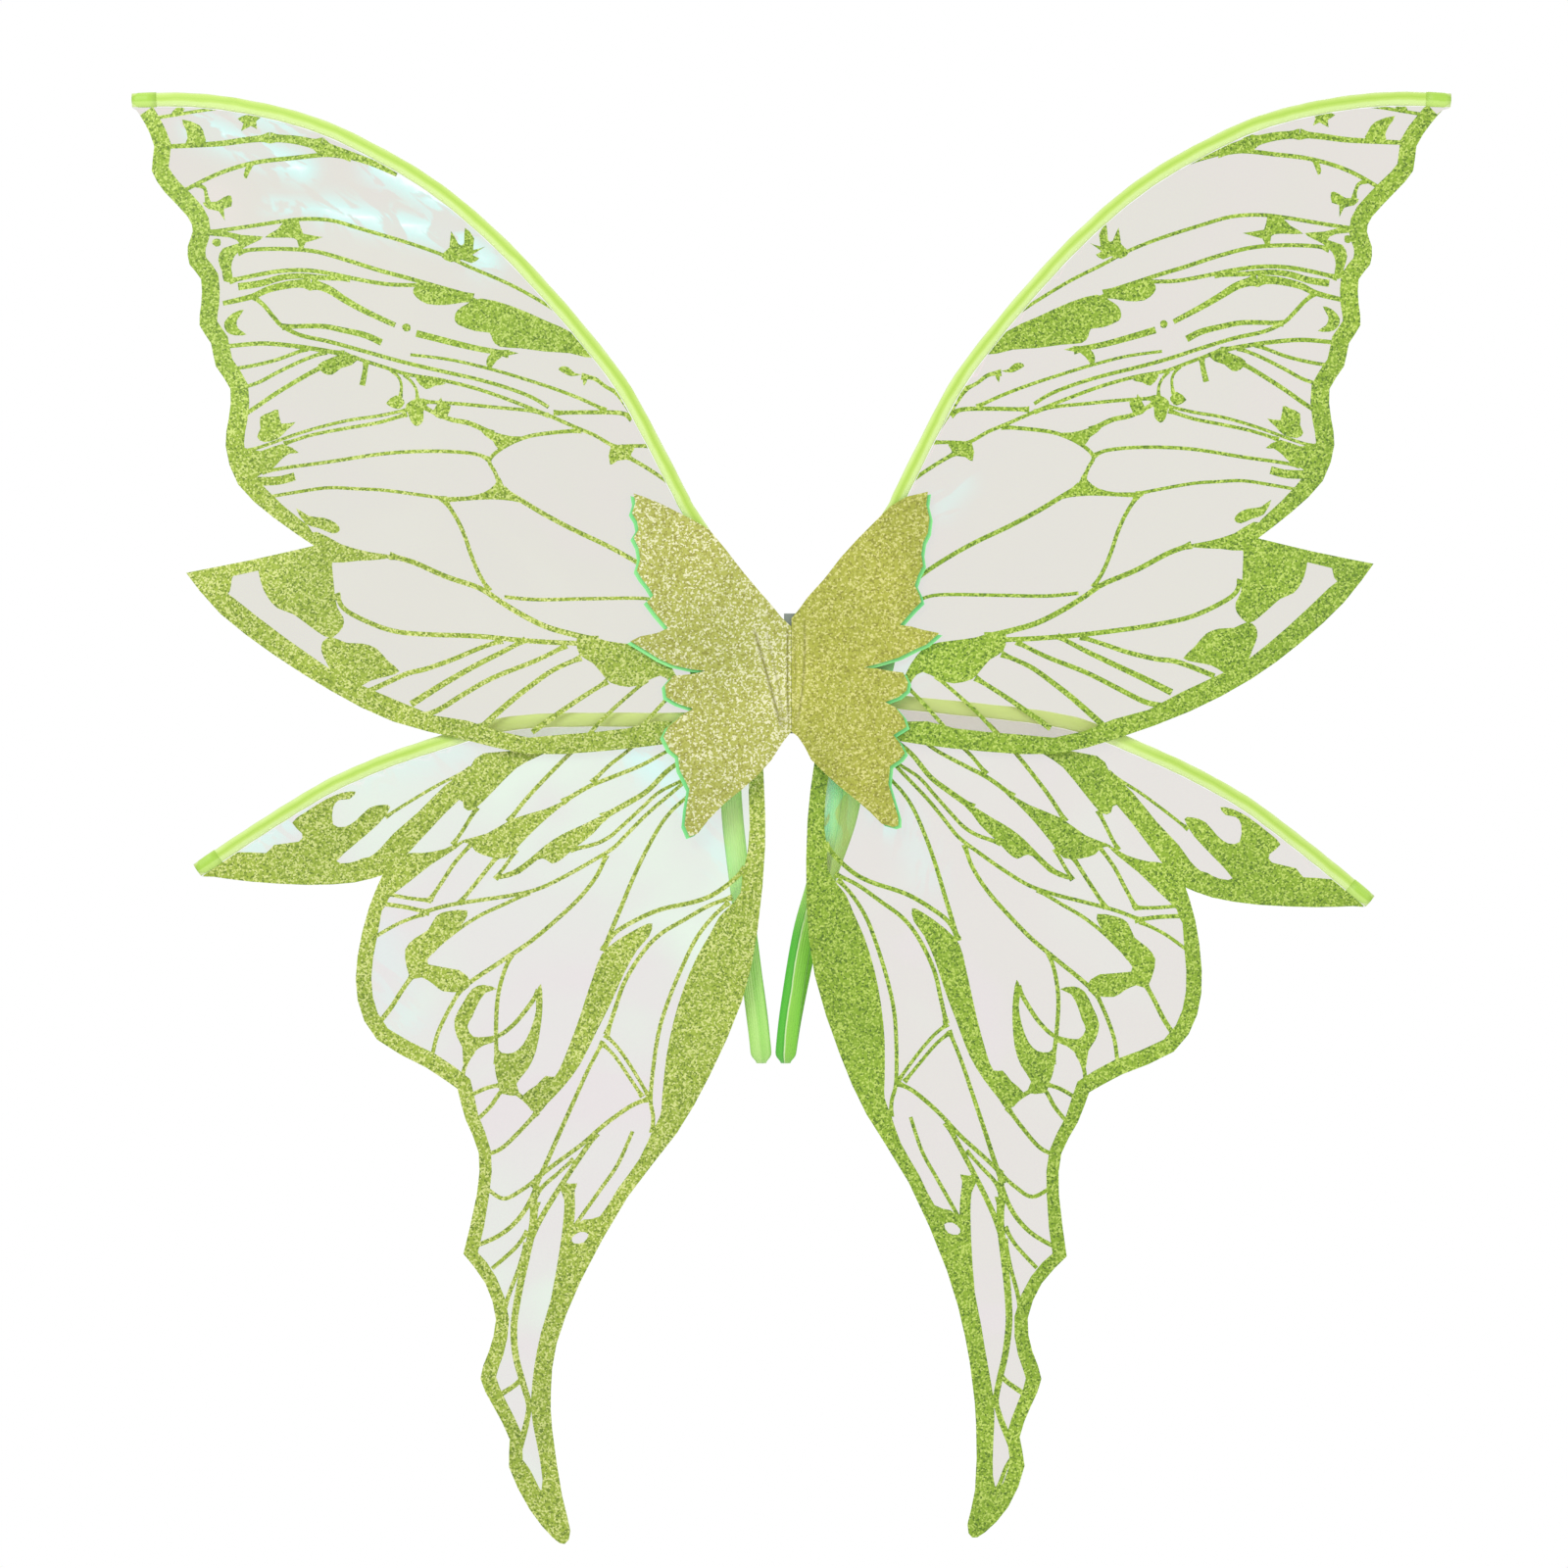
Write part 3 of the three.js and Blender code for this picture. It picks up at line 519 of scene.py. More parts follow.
lowerPrint = {
    "border": [(350, -120, 9), (300, -125, 9), (258, -124, 8), (265, -170, 9.5), (265, -197, 9.5), (253, -221, 9.5),
        (223, -238, 10), (204, -251, 10), (199, -270, 8), (191, -290, 7.5), (192, -315, 7.5), (200, -352, 9),
        (187, -370, 7.5), (180, -392, 8), (185, -412, 9), (190, -428, 10), (182, -445, 8), (172, -465, 8),
        (172, -482, 9), (160, -508, 10), (146, -525, 10)],
    "veins": [
        (2.2, 3.4, [52, -41, 66, -50, 76, -57, 88, -69, 100, -76.5, 116, -85.5]),
        (1.8, 2.2, [48, -50, 66, -62, 81, -70, 92, -80, 104, -91, 111, -97, 120, -101.5, 135, -105]),
        (2.0, 2.2, [50, -53, 62, -61, 74, -71, 88, -83, 100, -95, 109, -104, 122, -112, 138, -121, 155, -129, 172,
         -133, 192, -136, 210, -139, 226, -143.5]),
        (2.0, 2.0, [160, -131, 176, -138.5, 190, -145, 204, -154, 220, -167]),
        (2.2, 2.6, [113, -108, 119, -121, 130, -135, 145, -149, 160, -161.5, 177, -173, 190, -181.5, 202, -190]),
        (2.2, 2.2, [202, -190, 210, -204, 216, -217, 219, -229]),
        (1.8, 2.6, [48, -56, 62, -71, 72, -80, 80, -90, 89, -106, 97, -123, 104, -140, 109, -152, 115, -167]),
        (1.8, 2.6, [62, -37, 80, -47, 92, -53.5, 108, -60, 124, -66.5, 140, -76]),
        (1.8, 2.2, [92, -38, 103, -47, 112, -54, 122, -64]),
        (2.2, 2.2, [194, -100, 205, -112, 213, -124, 221, -136]),
        (2.2, 2.0, [192, -79, 197, -87, 202, -95, 207, -102]),
        (2.2, 2.4, [120, -33, 135, -46, 150, -61, 162, -74, 173, -88]),
        (1.7, 1.7, [196, -55, 205, -60, 217, -66, 233, -75.5, 248, -85]),
        (2.6, 2.4, [28, -116, 36, -124, 48, -132.5, 60, -137, 80, -141.5, 96, -148.5, 108, -156, 115, -166]),
        (2.2, 2.4, [36, -134, 50, -139, 65, -147.5, 80, -156.5, 91, -168, 102, -186, 108, -203, 113, -218]),
        (1.9, 1.9, [114, -218, 106, -226, 97, -239, 87, -256]),
        (1.9, 1.9, [116, -223, 108, -231, 99, -244, 91, -256]),
        (2.2, 2.2, [38, -137, 48, -146, 58, -159, 66, -175, 74, -194, 80.5, -214, 84, -235, 86, -257, 84.5, -268, 85,
         -278]),
        (2.0, 2.8, [115, -222, 124, -239, 134, -261, 143, -281, 150, -297, 157, -312]),
        (2.4, 2.4, [86, -257, 97, -261, 113, -272, 128, -285, 143, -296, 156, -306]),
        (2.8, 3.2, [119, -278, 130, -294, 138, -306, 147, -320, 155, -334, 162, -350]),
        (1.8, 2.6, [133, -294, 143, -303, 153, -312, 158, -322]),
        (2.2, 2.2, [154, -305, 165, -313, 176, -318, 187, -311]),
        (2.8, 2.4, [155, -310, 162, -324, 170, -334, 180, -341.5, 195, -348]),
        (2.2, 2.2, [161, -338, 168, -347.5, 176, -355, 183, -361]),
        (4.6, 3.4, [157, -320, 158, -335, 162, -354, 166.5, -375, 169.5, -396, 168.5, -414, 164, -431, 159, -447]),
        (2.0, 2.6, [162, -345, 167, -362, 173, -378, 176, -390]),
        (2.4, 3.0, [164, -428, 170, -433, 178, -438]),
        (2.8, 4.0, [159.5, -442, 162, -456, 166, -470]),
        (2.4, 2.4, [167, -476, 161, -484, 156, -494, 153, -500]),
        (2.0, 2.2, [97, -277, 106, -297, 117, -313, 129, -330, 134, -338]),
        (6.0, 7.0, [136, -309, 135.5, -325, 137.5, -345, 141, -368]),
        (3.0, 2.2, [138, -308, 139.5, -312, 137, -318]),
        (2.4, 2.2, [155, -265, 166, -277, 178, -288, 190, -292]),
        (2.6, 2.2, [157, -263, 165, -256, 171, -252.5, 177, -252.5, 184, -262, 192, -270]),
        (2.2, 2.2, [176, -248.5, 186, -250.5, 198, -256]),
        (2.6, 2.2, [154, -191, 160, -200, 170, -212, 181, -219.5, 196, -221]),
        (2.2, 2.4, [171, -169, 176, -181, 179.5, -196, 180.5, -215, 180, -236]),
        (2.2, 2.2, [195, -228, 200, -239, 201, -250]),
        (2.4, 2.8, [231, -181, 238, -191, 245, -202, 253, -212]),
        (2.4, 2.4, [221, -143.5, 236, -140, 254, -137.5]),
        (1.9, 1.9, [224, -144, 240, -150, 254, -158]),
        (2.0, 2.0, [220, -136, 234, -134.5, 252, -131]),
        (2.0, 2.0, [168, -105, 175, -115, 181, -123]),
        (2.4, 2.2, [179, -108, 190, -122, 203, -138]),
    ],
    "shapes": [
        [112, -83, 128, -90, 140, -95.5, 150, -102, 160, -110.5, 170, -117.5, 180, -121, 178, -123, 166, -119.5, 155,
         -111, 150, -111, 146, -113.5, 140, -110.5, 132, -103.5, 121, -95],
        [134, -73, 150, -80, 170, -86, 186, -95, 202, -99.5, 196, -101.5, 193, -106, 184, -109.5, 174, -110, 165,
         -101, 154, -90, 143, -80.5],
        [150, -44, 188, -46, 196, -54, 212, -66, 228, -82, 243, -95, 251, -104, 258, -109.5, 266, -112, 266, -126,
         246, -121, 235, -108, 222, -94, 203, -74.5, 200, -79.5, 194, -80.5, 182, -69, 168, -55, 157, -49],
        [198, -98, 212, -104.5, 226, -107, 236, -107.5, 246, -118, 256, -128, 264, -140, 250, -142, 246, -134.5, 234,
         -125, 220, -114, 206, -105],
        [245, -79, 250, -77.5, 258, -79.5, 266, -87, 273, -91, 280, -89.5, 280, -79, 276, -74.5, 270, -74, 266, -69.5,
         274, -70, 284, -74, 297, -82, 305, -88.5, 299, -95, 301, -100, 316, -102, 321, -107, 338, -106.5, 352, -114,
         360, -124, 330, -128, 290, -130, 262, -127, 258, -111, 270, -113, 278, -112, 266, -101, 252, -89],
        [10, -40, 25, -50, 25.5, -90, 27, -108, 30, -120, 31, -131, 38, -140, 44, -146, 50, -157, 58, -171, 66, -190,
         72, -210, 76.5, -232, 79, -257, 80, -267, 85, -277, 93, -294, 106, -312, 117, -329, 127, -331, 134, -338,
         142, -355, 147, -380, 153, -400, 157, -420, 159, -440, 158, -455, 155, -470, 152, -490, 155, -499, 166, -496,
         160, -520, 140, -540, 124, -520, 130, -480, 134, -430, 128, -400, 110, -370, 90, -335, 60, -290, 34, -240,
         14, -195, 6, -140, 6, -80],
        [85, -150, 92, -152, 106, -160, 116, -169, 121, -182, 126, -197, 131, -212, 139, -233, 144.5, -243.5, 150,
         -243, 156, -249, 164, -255, 160, -262, 155, -266.5, 149, -260, 139, -249.5, 129, -236, 119, -216, 110, -198,
         102, -180, 94, -166, 87, -158],
        [153, -187, 156, -193, 156, -203, 159, -214, 164, -224, 170, -229, 177, -229, 181, -226, 181, -240, 179, -248,
         177, -254, 166, -255, 168, -248, 161, -239, 156, -228, 153, -212, 152, -198],
        [180, -190, 188, -187.5, 195, -190, 201, -199, 206, -209, 204.5, -219, 201, -226, 200, -240, 195, -230, 188,
         -224.5, 180, -222, 184, -219.5, 194, -219.5, 198, -213, 195, -207, 192, -200, 187, -192.5],
        [198, -142, 210, -142.5, 217, -145.5, 222, -154, 230, -159, 236, -166, 235, -177, 232, -184, 226, -183, 219,
         -187, 213, -191.5, 201, -191.5, 196, -186, 203, -178.5, 222, -175, 219, -168, 207, -156, 200, -149],
    ],
    "clear": [
        [124, -340, 129, -338.5, 134, -342, 133, -345.5, 127, -345],
    ],
}


def outlineOf(node):
    # the front face's edge of a flat CAD node, in mm, walked in order
    bm = bmesh.new()
    bm.from_mesh(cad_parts[node].data)
    bmesh.ops.remove_doubles(bm, verts=bm.verts, dist=1e-6)
    bm.normal_update()
    bmesh.ops.delete(bm, geom=[f for f in bm.faces if f.normal.y > -0.9], context='FACES')
    rim = [e for e in bm.edges if e.is_boundary]
    loops = []
    left = set(rim)
    while left:
        edge = left.pop()
        first, at = edge.verts
        loop = [first, at]
        while at != first:
            edge = next((e for e in at.link_edges if e in left), None)
            if edge is None:
                break
            left.discard(edge)
            at = edge.other_vert(at)
            loop.append(at)
        loops.append([(v.co.x / mm, v.co.z / mm) for v in loop[:-1]])
    bm.free()
    longest = max(loops, key=len)
    return longest if areaOf(longest) > 0 else longest[::-1]


def areaOf(points):
    return 0.5 * sum(a[0] * b[1] - b[0] * a[1] for a, b in zip(points, points[1:] + points[:1]))


def inside(point, outline):
    x, y = point
    hit = False
    for (ax, ay), (bx, by) in zip(outline, outline[1:] + outline[:1]):
        if (ay > y) != (by > y) and x < (bx - ax) * (y - ay) / (by - ay) + ax:
            hit = not hit
    return hit


def innerPoints(outline, spacing):
    # an even, staggered grid within an outline, so that a sheet can bend
    xs, ys = [p[0] for p in outline], [p[1] for p in outline]
    rows = int((max(ys) - min(ys)) / spacing)
    made = []
    for r in range(rows + 1):
        y = min(ys) + (r + 0.5) * spacing
        for c in range(int((max(xs) - min(xs)) / spacing) + 1):
            x = min(xs) + (c + (0.25 if r % 2 else 0.75)) * spacing
            if inside((x, y), outline):
                made.append((x, y))
    return made


def strokeFaces(points, startWidth, endWidth, flares):
    # a vein as quads side by side along its line; it widens where it grows out of another one
    lengths = [0.0]
    for a, b in zip(points, points[1:]):
        lengths.append(lengths[-1] + math.hypot(b[0] - a[0], b[1] - a[1]))
    left, right = [], []
    for i, (x, y) in enumerate(points):
        a, b = points[max(i - 1, 0)], points[min(i + 1, len(points) - 1)]
        along = Vector((b[0] - a[0], b[1] - a[1])).normalized()
        half = 0.5 * (startWidth + (endWidth - startWidth) * i / (len(points) - 1))
        for flare, away in zip(flares, (lengths[i], lengths[-1] - lengths[i])):
            half += flare * math.exp(-(away / ink["flareLong"]) ** 2)
        left.append((x - along.y * half, y + along.x * half))
        right.append((x + along.y * half, y - along.x * half))
    made = []
    for i in range(len(points) - 1):
        made += halved(left[i], right[i], right[i + 1], left[i + 1])
    return made


def halved(a, b, c, d):
    # two triangles in place of a quad that may cross itself on a tight bend
    return [t for t in ([a, b, c], [a, c, d]) if abs(areaOf(t)) > 0.01]


def borderFaces(side, level, outline, keys):
    # the printed border: quads inward from the film's free edge, as wide as the nearest keys say
    lead = smoothLine(leadPoints(side, level), 2)
    placedKeys = [(*placed(side, level, *handShaped(side, level, u, v)), wide) for u, v, wide in keys]
    inner = []
    count = len(outline)
    for i, (x, y) in enumerate(outline):
        a, b = outline[i - 2], outline[(i + 2) % count]
        along = Vector((b[0] - a[0], b[1] - a[1])).normalized()
        weights = [math.exp(-((x - kx) ** 2 + (y - ky) ** 2) / ink["borderBlend"] ** 2) + 1e-9
                   for kx, ky, _ in placedKeys]
        wide = sum(w * key[2] for w, key in zip(weights, placedKeys)) / sum(weights)
        free = min(math.hypot(x - p, y - q) for p, q in lead) > ink["fromLead"]
        inner.append((x - along.y * wide, y + along.x * wide) if free and max(weights) > 1e-3 else None)
    made = []
    for i in range(count):
        k = (i + 1) % count
        if inner[i] and inner[k]:
            made += halved(outline[i], outline[k], inner[k], inner[i])
    return made


def touchesAny(point, lines, reach):
    return any(toSegment(point, a, b) < reach for line in lines for a, b in zip(line, line[1:]))


def toSegment(p, a, b):
    ax, ay = b[0] - a[0], b[1] - a[1]
    span = ax * ax + ay * ay
    t = 0 if span == 0 else min(max(((p[0] - a[0]) * ax + (p[1] - a[1]) * ay) / span, 0), 1)
    return math.hypot(p[0] - a[0] - t * ax, p[1] - a[1] - t * ay)


def flatPieces(outline, extra, filled, cleared):
    # one triangulation that every outline lies on, and what each triangle is inside of
    verts, faces = [], []
    for polygon in [outline] + filled + cleared:
        ordered = polygon if areaOf(polygon) > 0 else polygon[::-1]
        faces.append(list(range(len(verts), len(verts) + len(ordered))))
        verts += [Vector(p) for p in ordered]
    verts += [Vector(p) for p in extra]
    points, _, triangles, _, _, within = geometry.delaunay_2d_cdt(verts, [], faces, 1, 1e-4)
    firstClear = 1 + len(filled)
    kinds = []
    for owners in within:
        printed = any(0 < o < firstClear for o in owners) and not any(o >= firstClear for o in owners)
        kinds.append((0 in owners, printed))
    return points, triangles, kinds


def meshFrom(points, triangles, keep, depth):
    # chosen triangles as a bmesh facing the wearer's front, at a depth given by place
    bm = bmesh.new()
    verts = [bm.verts.new((p.x * mm, depth(p.x, p.y) * mm, p.y * mm)) for p in points]
    for triangle, kept in zip(triangles, keep):
        if kept:
            bm.faces.new([verts[i] for i in triangle])
    bmesh.ops.delete(bm, geom=[v for v in bm.verts if not v.link_faces], context='VERTS')
    bmesh.ops.dissolve_degenerate(bm, edges=bm.edges, dist=2e-5)
    bm.normal_update()
    bmesh.ops.reverse_faces(bm, faces=[f for f in bm.faces if f.normal.y > 0])
    return bm


def thickened(bm, thickness):
    # a closed sheet: its front stays and its wall grows backwards
    bmesh.ops.solidify(bm, geom=bm.faces, thickness=thickness * mm)
    bmesh.ops.recalc_face_normals(bm, faces=bm.faces)
    return bm


wave = {
    ("left", "upper"): {"high": 1.3, "length": 95, "heading": 35, "crease": 0.5},
    ("right", "upper"): {"high": 1.1, "length": 120, "heading": -25, "crease": 0.15},
    ("left", "lower"): {"high": 1.2, "length": 85, "heading": 60, "crease": 0.2},
    ("right", "lower"): {"high": 1.2, "length": 90, "heading": 120, "crease": 0.2},
}
# in mm, but flare is a share of the vein's width
ink = {
    "lift": 0.22, "spread": 0.25, "thick": 0.16, "flare": 0.35, "flareLong": 3.0, "joinReach": 3,
    "borderBlend": 14, "fromLead": 7}


def filmDepth(side, level):
    look = wave[side, level]
    lead = smoothLine(leadPoints(side, level), 2)
    root = placed(side, level, *roots[level]["left"])
    angle = math.radians(look["heading"])

    def depth(x, z):
        toLead = min(math.hypot(x - a, z - b) for a, b in lead)
        toRoot = math.hypot(x - root[0], z - root[1])
        free = smoothstep(toLead, 6, 55) * smoothstep(toRoot, 85, 190)
        along = x * math.cos(angle) + z * math.sin(angle)
        across = z * math.cos(angle) - x * math.sin(angle)
        soft = math.sin(along / look["length"] * 2 * math.pi) * math.cos(across / look["length"] * 3.1)
        near = smoothstep(toLead, 5, 18) * (1 - smoothstep(toLead, 30, 75)) * smoothstep(toRoot, 120, 220)
        crease = math.sin(along / 17) * math.sin(across / 41 + 1)
        return layers[level] + look["high"] * soft * free + look["crease"] * crease * near

    return depth


# painted highlights along folds in the film, as (from, to, half width, strength), in mm
filmPaintedShine = {
    ("left", "upper"): [
        ((362, 336), (298, 310), 9, 1.0), ((330, 342), (300, 334), 6, 0.7), ((252, 312), (208, 288), 10, 1.0),
        ((318, 288), (282, 285), 5, 0.8), ((282, 285), (208, 270), 9, 1.0), ((205, 268), (186, 254), 9, 0.9),
        ((70, 66), (58, 52), 12, 0.4)],
    ("right", "upper"): [((104, 118), (92, 104), 8, 0.35), ((84, 14), (64, -2), 9, 0.35)],
    ("left", "lower"): [
        ((96, -44), (58, -78), 12, 0.8), ((64, -60), (44, -112), 9, 0.45), ((258, -56), (206, -44), 12, 0.3),
        ((252, -160), (236, -212), 14, 0.25), ((300, -84), (330, -104), 8, 0.5)],
    ("right", "lower"): [
        ((26, -60), (24, -104), 13, 1.0), ((44, -62), (66, -100), 8, 0.8), ((66, -84), (92, -128), 12, 0.25)],
}


def filmSheet(side, level, outline, grid, depth, material):
    points, triangles, kinds = flatPieces(outline, grid, [], [])
    bm = meshFrom(points, triangles, [k[0] for k in kinds], lambda x, z: depth(x, z) - 0.5 * film["thick"])
    area = sum(f.calc_area() for f in bm.faces)
    thickened(bm, film["thick"])
    # how strongly each point takes the painted highlight of a fold
    paintedShine = bm.verts.layers.float.new("paintedShine")
    folds = [(placed(side, level, *a), placed(side, level, *b), wide, strength)
             for a, b, wide, strength in filmPaintedShine[side, level]]
    for v in bm.verts:
        at = (v.co.x / mm, v.co.z / mm)
        v[paintedShine] = max(strength * math.exp(-(toSegment(at, a, b) / wide) ** 2) for a, b, wide, strength in folds)
    return finish(f"{side}_{level}_sheet", bm, [material], smooth=True), area


def pairs(flat):
    return list(zip(flat[::2], flat[1::2]))


def printedVeins(mapped, drawing):
    lines = [mapped(smoothLine(pairs(line), 6)) for _, _, line in drawing["veins"]]
    shapes = [mapped(smoothLine(pairs(shape), 2, closed=True)) for shape in drawing["shapes"]]
    loops = [shape + shape[:1] for shape in shapes]
    filled = []
    for i, ((start, end, _), line) in enumerate(zip(drawing["veins"], lines)):
        others = lines[:i] + lines[i + 1:] + loops
        flares = [ink["flare"] * wide if touchesAny(point, others, ink["joinReach"]) else 0
                  for point, wide in ((line[0], start), (line[-1], end))]
        filled += strokeFaces(line, start + ink["spread"], end + ink["spread"], flares)
    return filled + shapes


def wingFilm(side, level, material, inkLook):
    name = f"{side}_{level}"
    outline = outlineOf(f"{name}_film")
    drawing = upperPrint if level == "upper" else lowerPrint
    mapped = lambda line: [placed(side, level, *handShaped(side, level, u, v)) for u, v in line]
    filled = printedVeins(mapped, drawing) + borderFaces(side, level, outline, drawing["border"])
    cleared = [mapped(smoothLine(pairs(shape), 2, closed=True)) for shape in drawing["clear"]]
    grid = innerPoints(outline, film["grid"])
    depth = filmDepth(side, level)

    points, triangles, kinds = flatPieces(outline, grid, filled, cleared)
    inkFaces = [isFilm and printed for isFilm, printed in kinds]
    bm = meshFrom(points, triangles, inkFaces, lambda x, z: depth(x, z) - 0.5 * film["thick"] - ink["lift"])
    thickened(bm, ink["thick"])
    # the ink lies deeper toward the upper left tip
    deep = bm.verts.layers.float.new("deep")
    for v in bm.verts:
        v[deep] = (name == "left_upper") * smoothstep(v.co.z / mm, 60, 210)
    printed = finish(f"{name}_print", bm, [inkLook])
    sheet, area = filmSheet(side, level, outline, grid, depth, material)
    sheet.visible_shadow = False  # clear film lets the light through
    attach(sheet, f"{name}_wing")
    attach(printed, f"{name}_wing")
    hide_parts(f"{name}_film")


casing = {"width": 8.6, "thick": 3.2, "fold": 17, "foldWidth": 9.2, "foldThick": 4.1, "hemWobble": 0.025}
sewing = {"wide": 0.4, "high": 0.3, "hemLong": 2.0, "hemAcross": 3.3, "hemLift": 1.15, "patchLong": 1.7, "inset": 1.8,
          "step": 2.6}


def sweep(bm, rings, around, flatness):
    # circles pressed into a flat section, placed along a line, bridged into a tube and closed at both ends
    acrossLayer = bm.verts.layers.float.new("across")
    loops = []
    for matrix, wide, deep in rings:
        made = bmesh.ops.create_circle(bm, segments=around, radius=1.0)["verts"]
        for v in made:
            v[acrossLayer] = v.co.x / 2 + 0.5
            v.co.x = math.copysign(abs(v.co.x) ** flatness[0], v.co.x) * wide / 2 * mm
            v.co.y = math.copysign(abs(v.co.y) ** flatness[1], v.co.y) * deep / 2 * mm
        bmesh.ops.transform(bm, matrix=matrix, verts=made)
        loops.append(made)
    for a, b in zip(loops, loops[1:]):
        edges = [e for ring in (a, b) for i, v in enumerate(ring)
                 for e in v.link_edges if e.other_vert(v) is ring[(i + 1) % len(ring)]]
        bmesh.ops.bridge_loops(bm, edges=list(dict.fromkeys(edges)))
    for ring in (loops[0], loops[-1]):
        bmesh.ops.contextual_create(bm, geom=ring)
    bmesh.ops.recalc_face_normals(bm, faces=bm.faces)


def ringAt(line, i, y, flip=1):
    (ax, az), (bx, bz) = line[max(i - 1, 0)], line[min(i + 1, len(line) - 1)]
    along = Vector((bx - ax, 0, bz - az)).normalized()
    x, z = line[i]
    across = Vector((-along.z, 0, along.x)) * flip
    front = Vector((0, -1, 0))
    return Matrix((
        (across.x, front.x, along.x, x * mm), (across.y, front.y, along.y, y * mm),
        (across.z, front.z, along.z, z * mm), (0, 0, 0, 1)))


def wingCasing(side, level, ribbonLook, foldLook, threadLook):
    name = f"{side}_{level}"
    line = smoothLine(leadPoints(side, level), 5)
    y = layers[level]
    bm = bmesh.new()
    flip = -outward[side]
    sweep(bm, [(ringAt(line, i, y, flip), casing["width"] * (1 + casing["hemWobble"] * math.sin(i * 1.7)),
                casing["thick"]) for i in range(len(line))], 20, (1, 1.35))
    # painted light: the drawn film darkens what lies behind it, so the lower casing is painted paler where it lies
    # behind the upper film
    paintedLightBehindFilm = bm.verts.layers.float.new("paintedLightBehindFilm")
    for v in bm.verts:
        v[paintedLightBehindFilm] = 0.85 * (level == "lower") * (1 - smoothstep(abs(v.co.x) / mm, 150, 235))
    tube = finish(f"{name}_casing_ribbon", bm, [ribbonLook], smooth=True)
    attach(tube, f"{name}_wing")
    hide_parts(f"{name}_casing")

    # the ribbon's end, folded back on itself over the wire's tip
    end = [p for p in line if math.hypot(p[0] - line[-1][0], p[1] - line[-1][1]) < casing["fold"]]
    bm = bmesh.new()
    count = len(end)
    rounding = [math.sqrt(max(0.02, 1 - (i / (count - 1)) ** 6)) for i in range(count)]
    sweep(bm, [(ringAt(end, i, y, flip), casing["foldWidth"] * (0.55 + 0.45 * rounding[i]), casing["foldThick"])
               for i in range(count)], 20, (1, 1.2))
    fold = finish(f"{name}_casing_fold", bm, [foldLook], smooth=True)
    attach(fold, f"{name}_wing")

    # sewing along the hem
    bm = bmesh.new()
    fine = smoothLine(leadPoints(side, level), 8)
    for i in range(6, len(fine) - 8, 2):
        spot = ringAt(fine, i, y)
        made = bmesh.ops.create_cube(bm, size=1.0)["verts"]
        bmesh.ops.scale(bm, vec=(sewing["wide"] * mm, sewing["high"] * mm, sewing["hemLong"] * mm), verts=made)
        bmesh.ops.translate(bm, vec=(flip * sewing["hemAcross"] * mm, sewing["hemLift"] * mm, 0), verts=made)
        bmesh.ops.transform(bm, matrix=spot, verts=made)
    stitches = finish(f"{name}_hem_stitches", bm, [threadLook])
    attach(stitches, f"{name}_wing")


coverLook = {
    "thick": 1.2, "puff": 0.35, "crease": 0.65, "seamReach": 0.42, "seamNear": 1.2, "middle": 8, "bendOver": 5,
    "grid": 1.7}
# where each half's creases run: (u at the top, u at the bottom, bow, half width, depth)
creases = {
    "left": [(25, 4.2, -0.6, 1.7, 1.0), (17, 2.6, -1.0, 1.4, 0.8), (2.2, 1.4, 0.6, 0.8, 1.0)],
    "right": [(7.5, 2.4, 2.6, 1.2, 0.9), (1.4, 2.6, 0.4, 0.8, 0.7)],
}
creaseGrid = {"steps": 40, "across": (-2.2, -1.1, 0, 1.1, 2.2)}


def creaseLine(crease, t):
    # how far from the seam a crease runs, t of the way up
    return crease[1] + (crease[0] - crease[1]) * t + crease[2] * math.sin(t * math.pi)


def creaseAt(side, x, z, bottom, top):
    u = abs(x)
    t = min(max((z - bottom) / (top - bottom), 0), 1)
    total = 0
    for crease in creases[side]:
        total += crease[4] * math.exp(-((u - creaseLine(crease, t)) / crease[3]) ** 2)
    return total * (1 - smoothstep(u, 22, 36)) * smoothstep(t, -0.02, 0.2) * (1 - smoothstep(t, 0.85, 1.02))


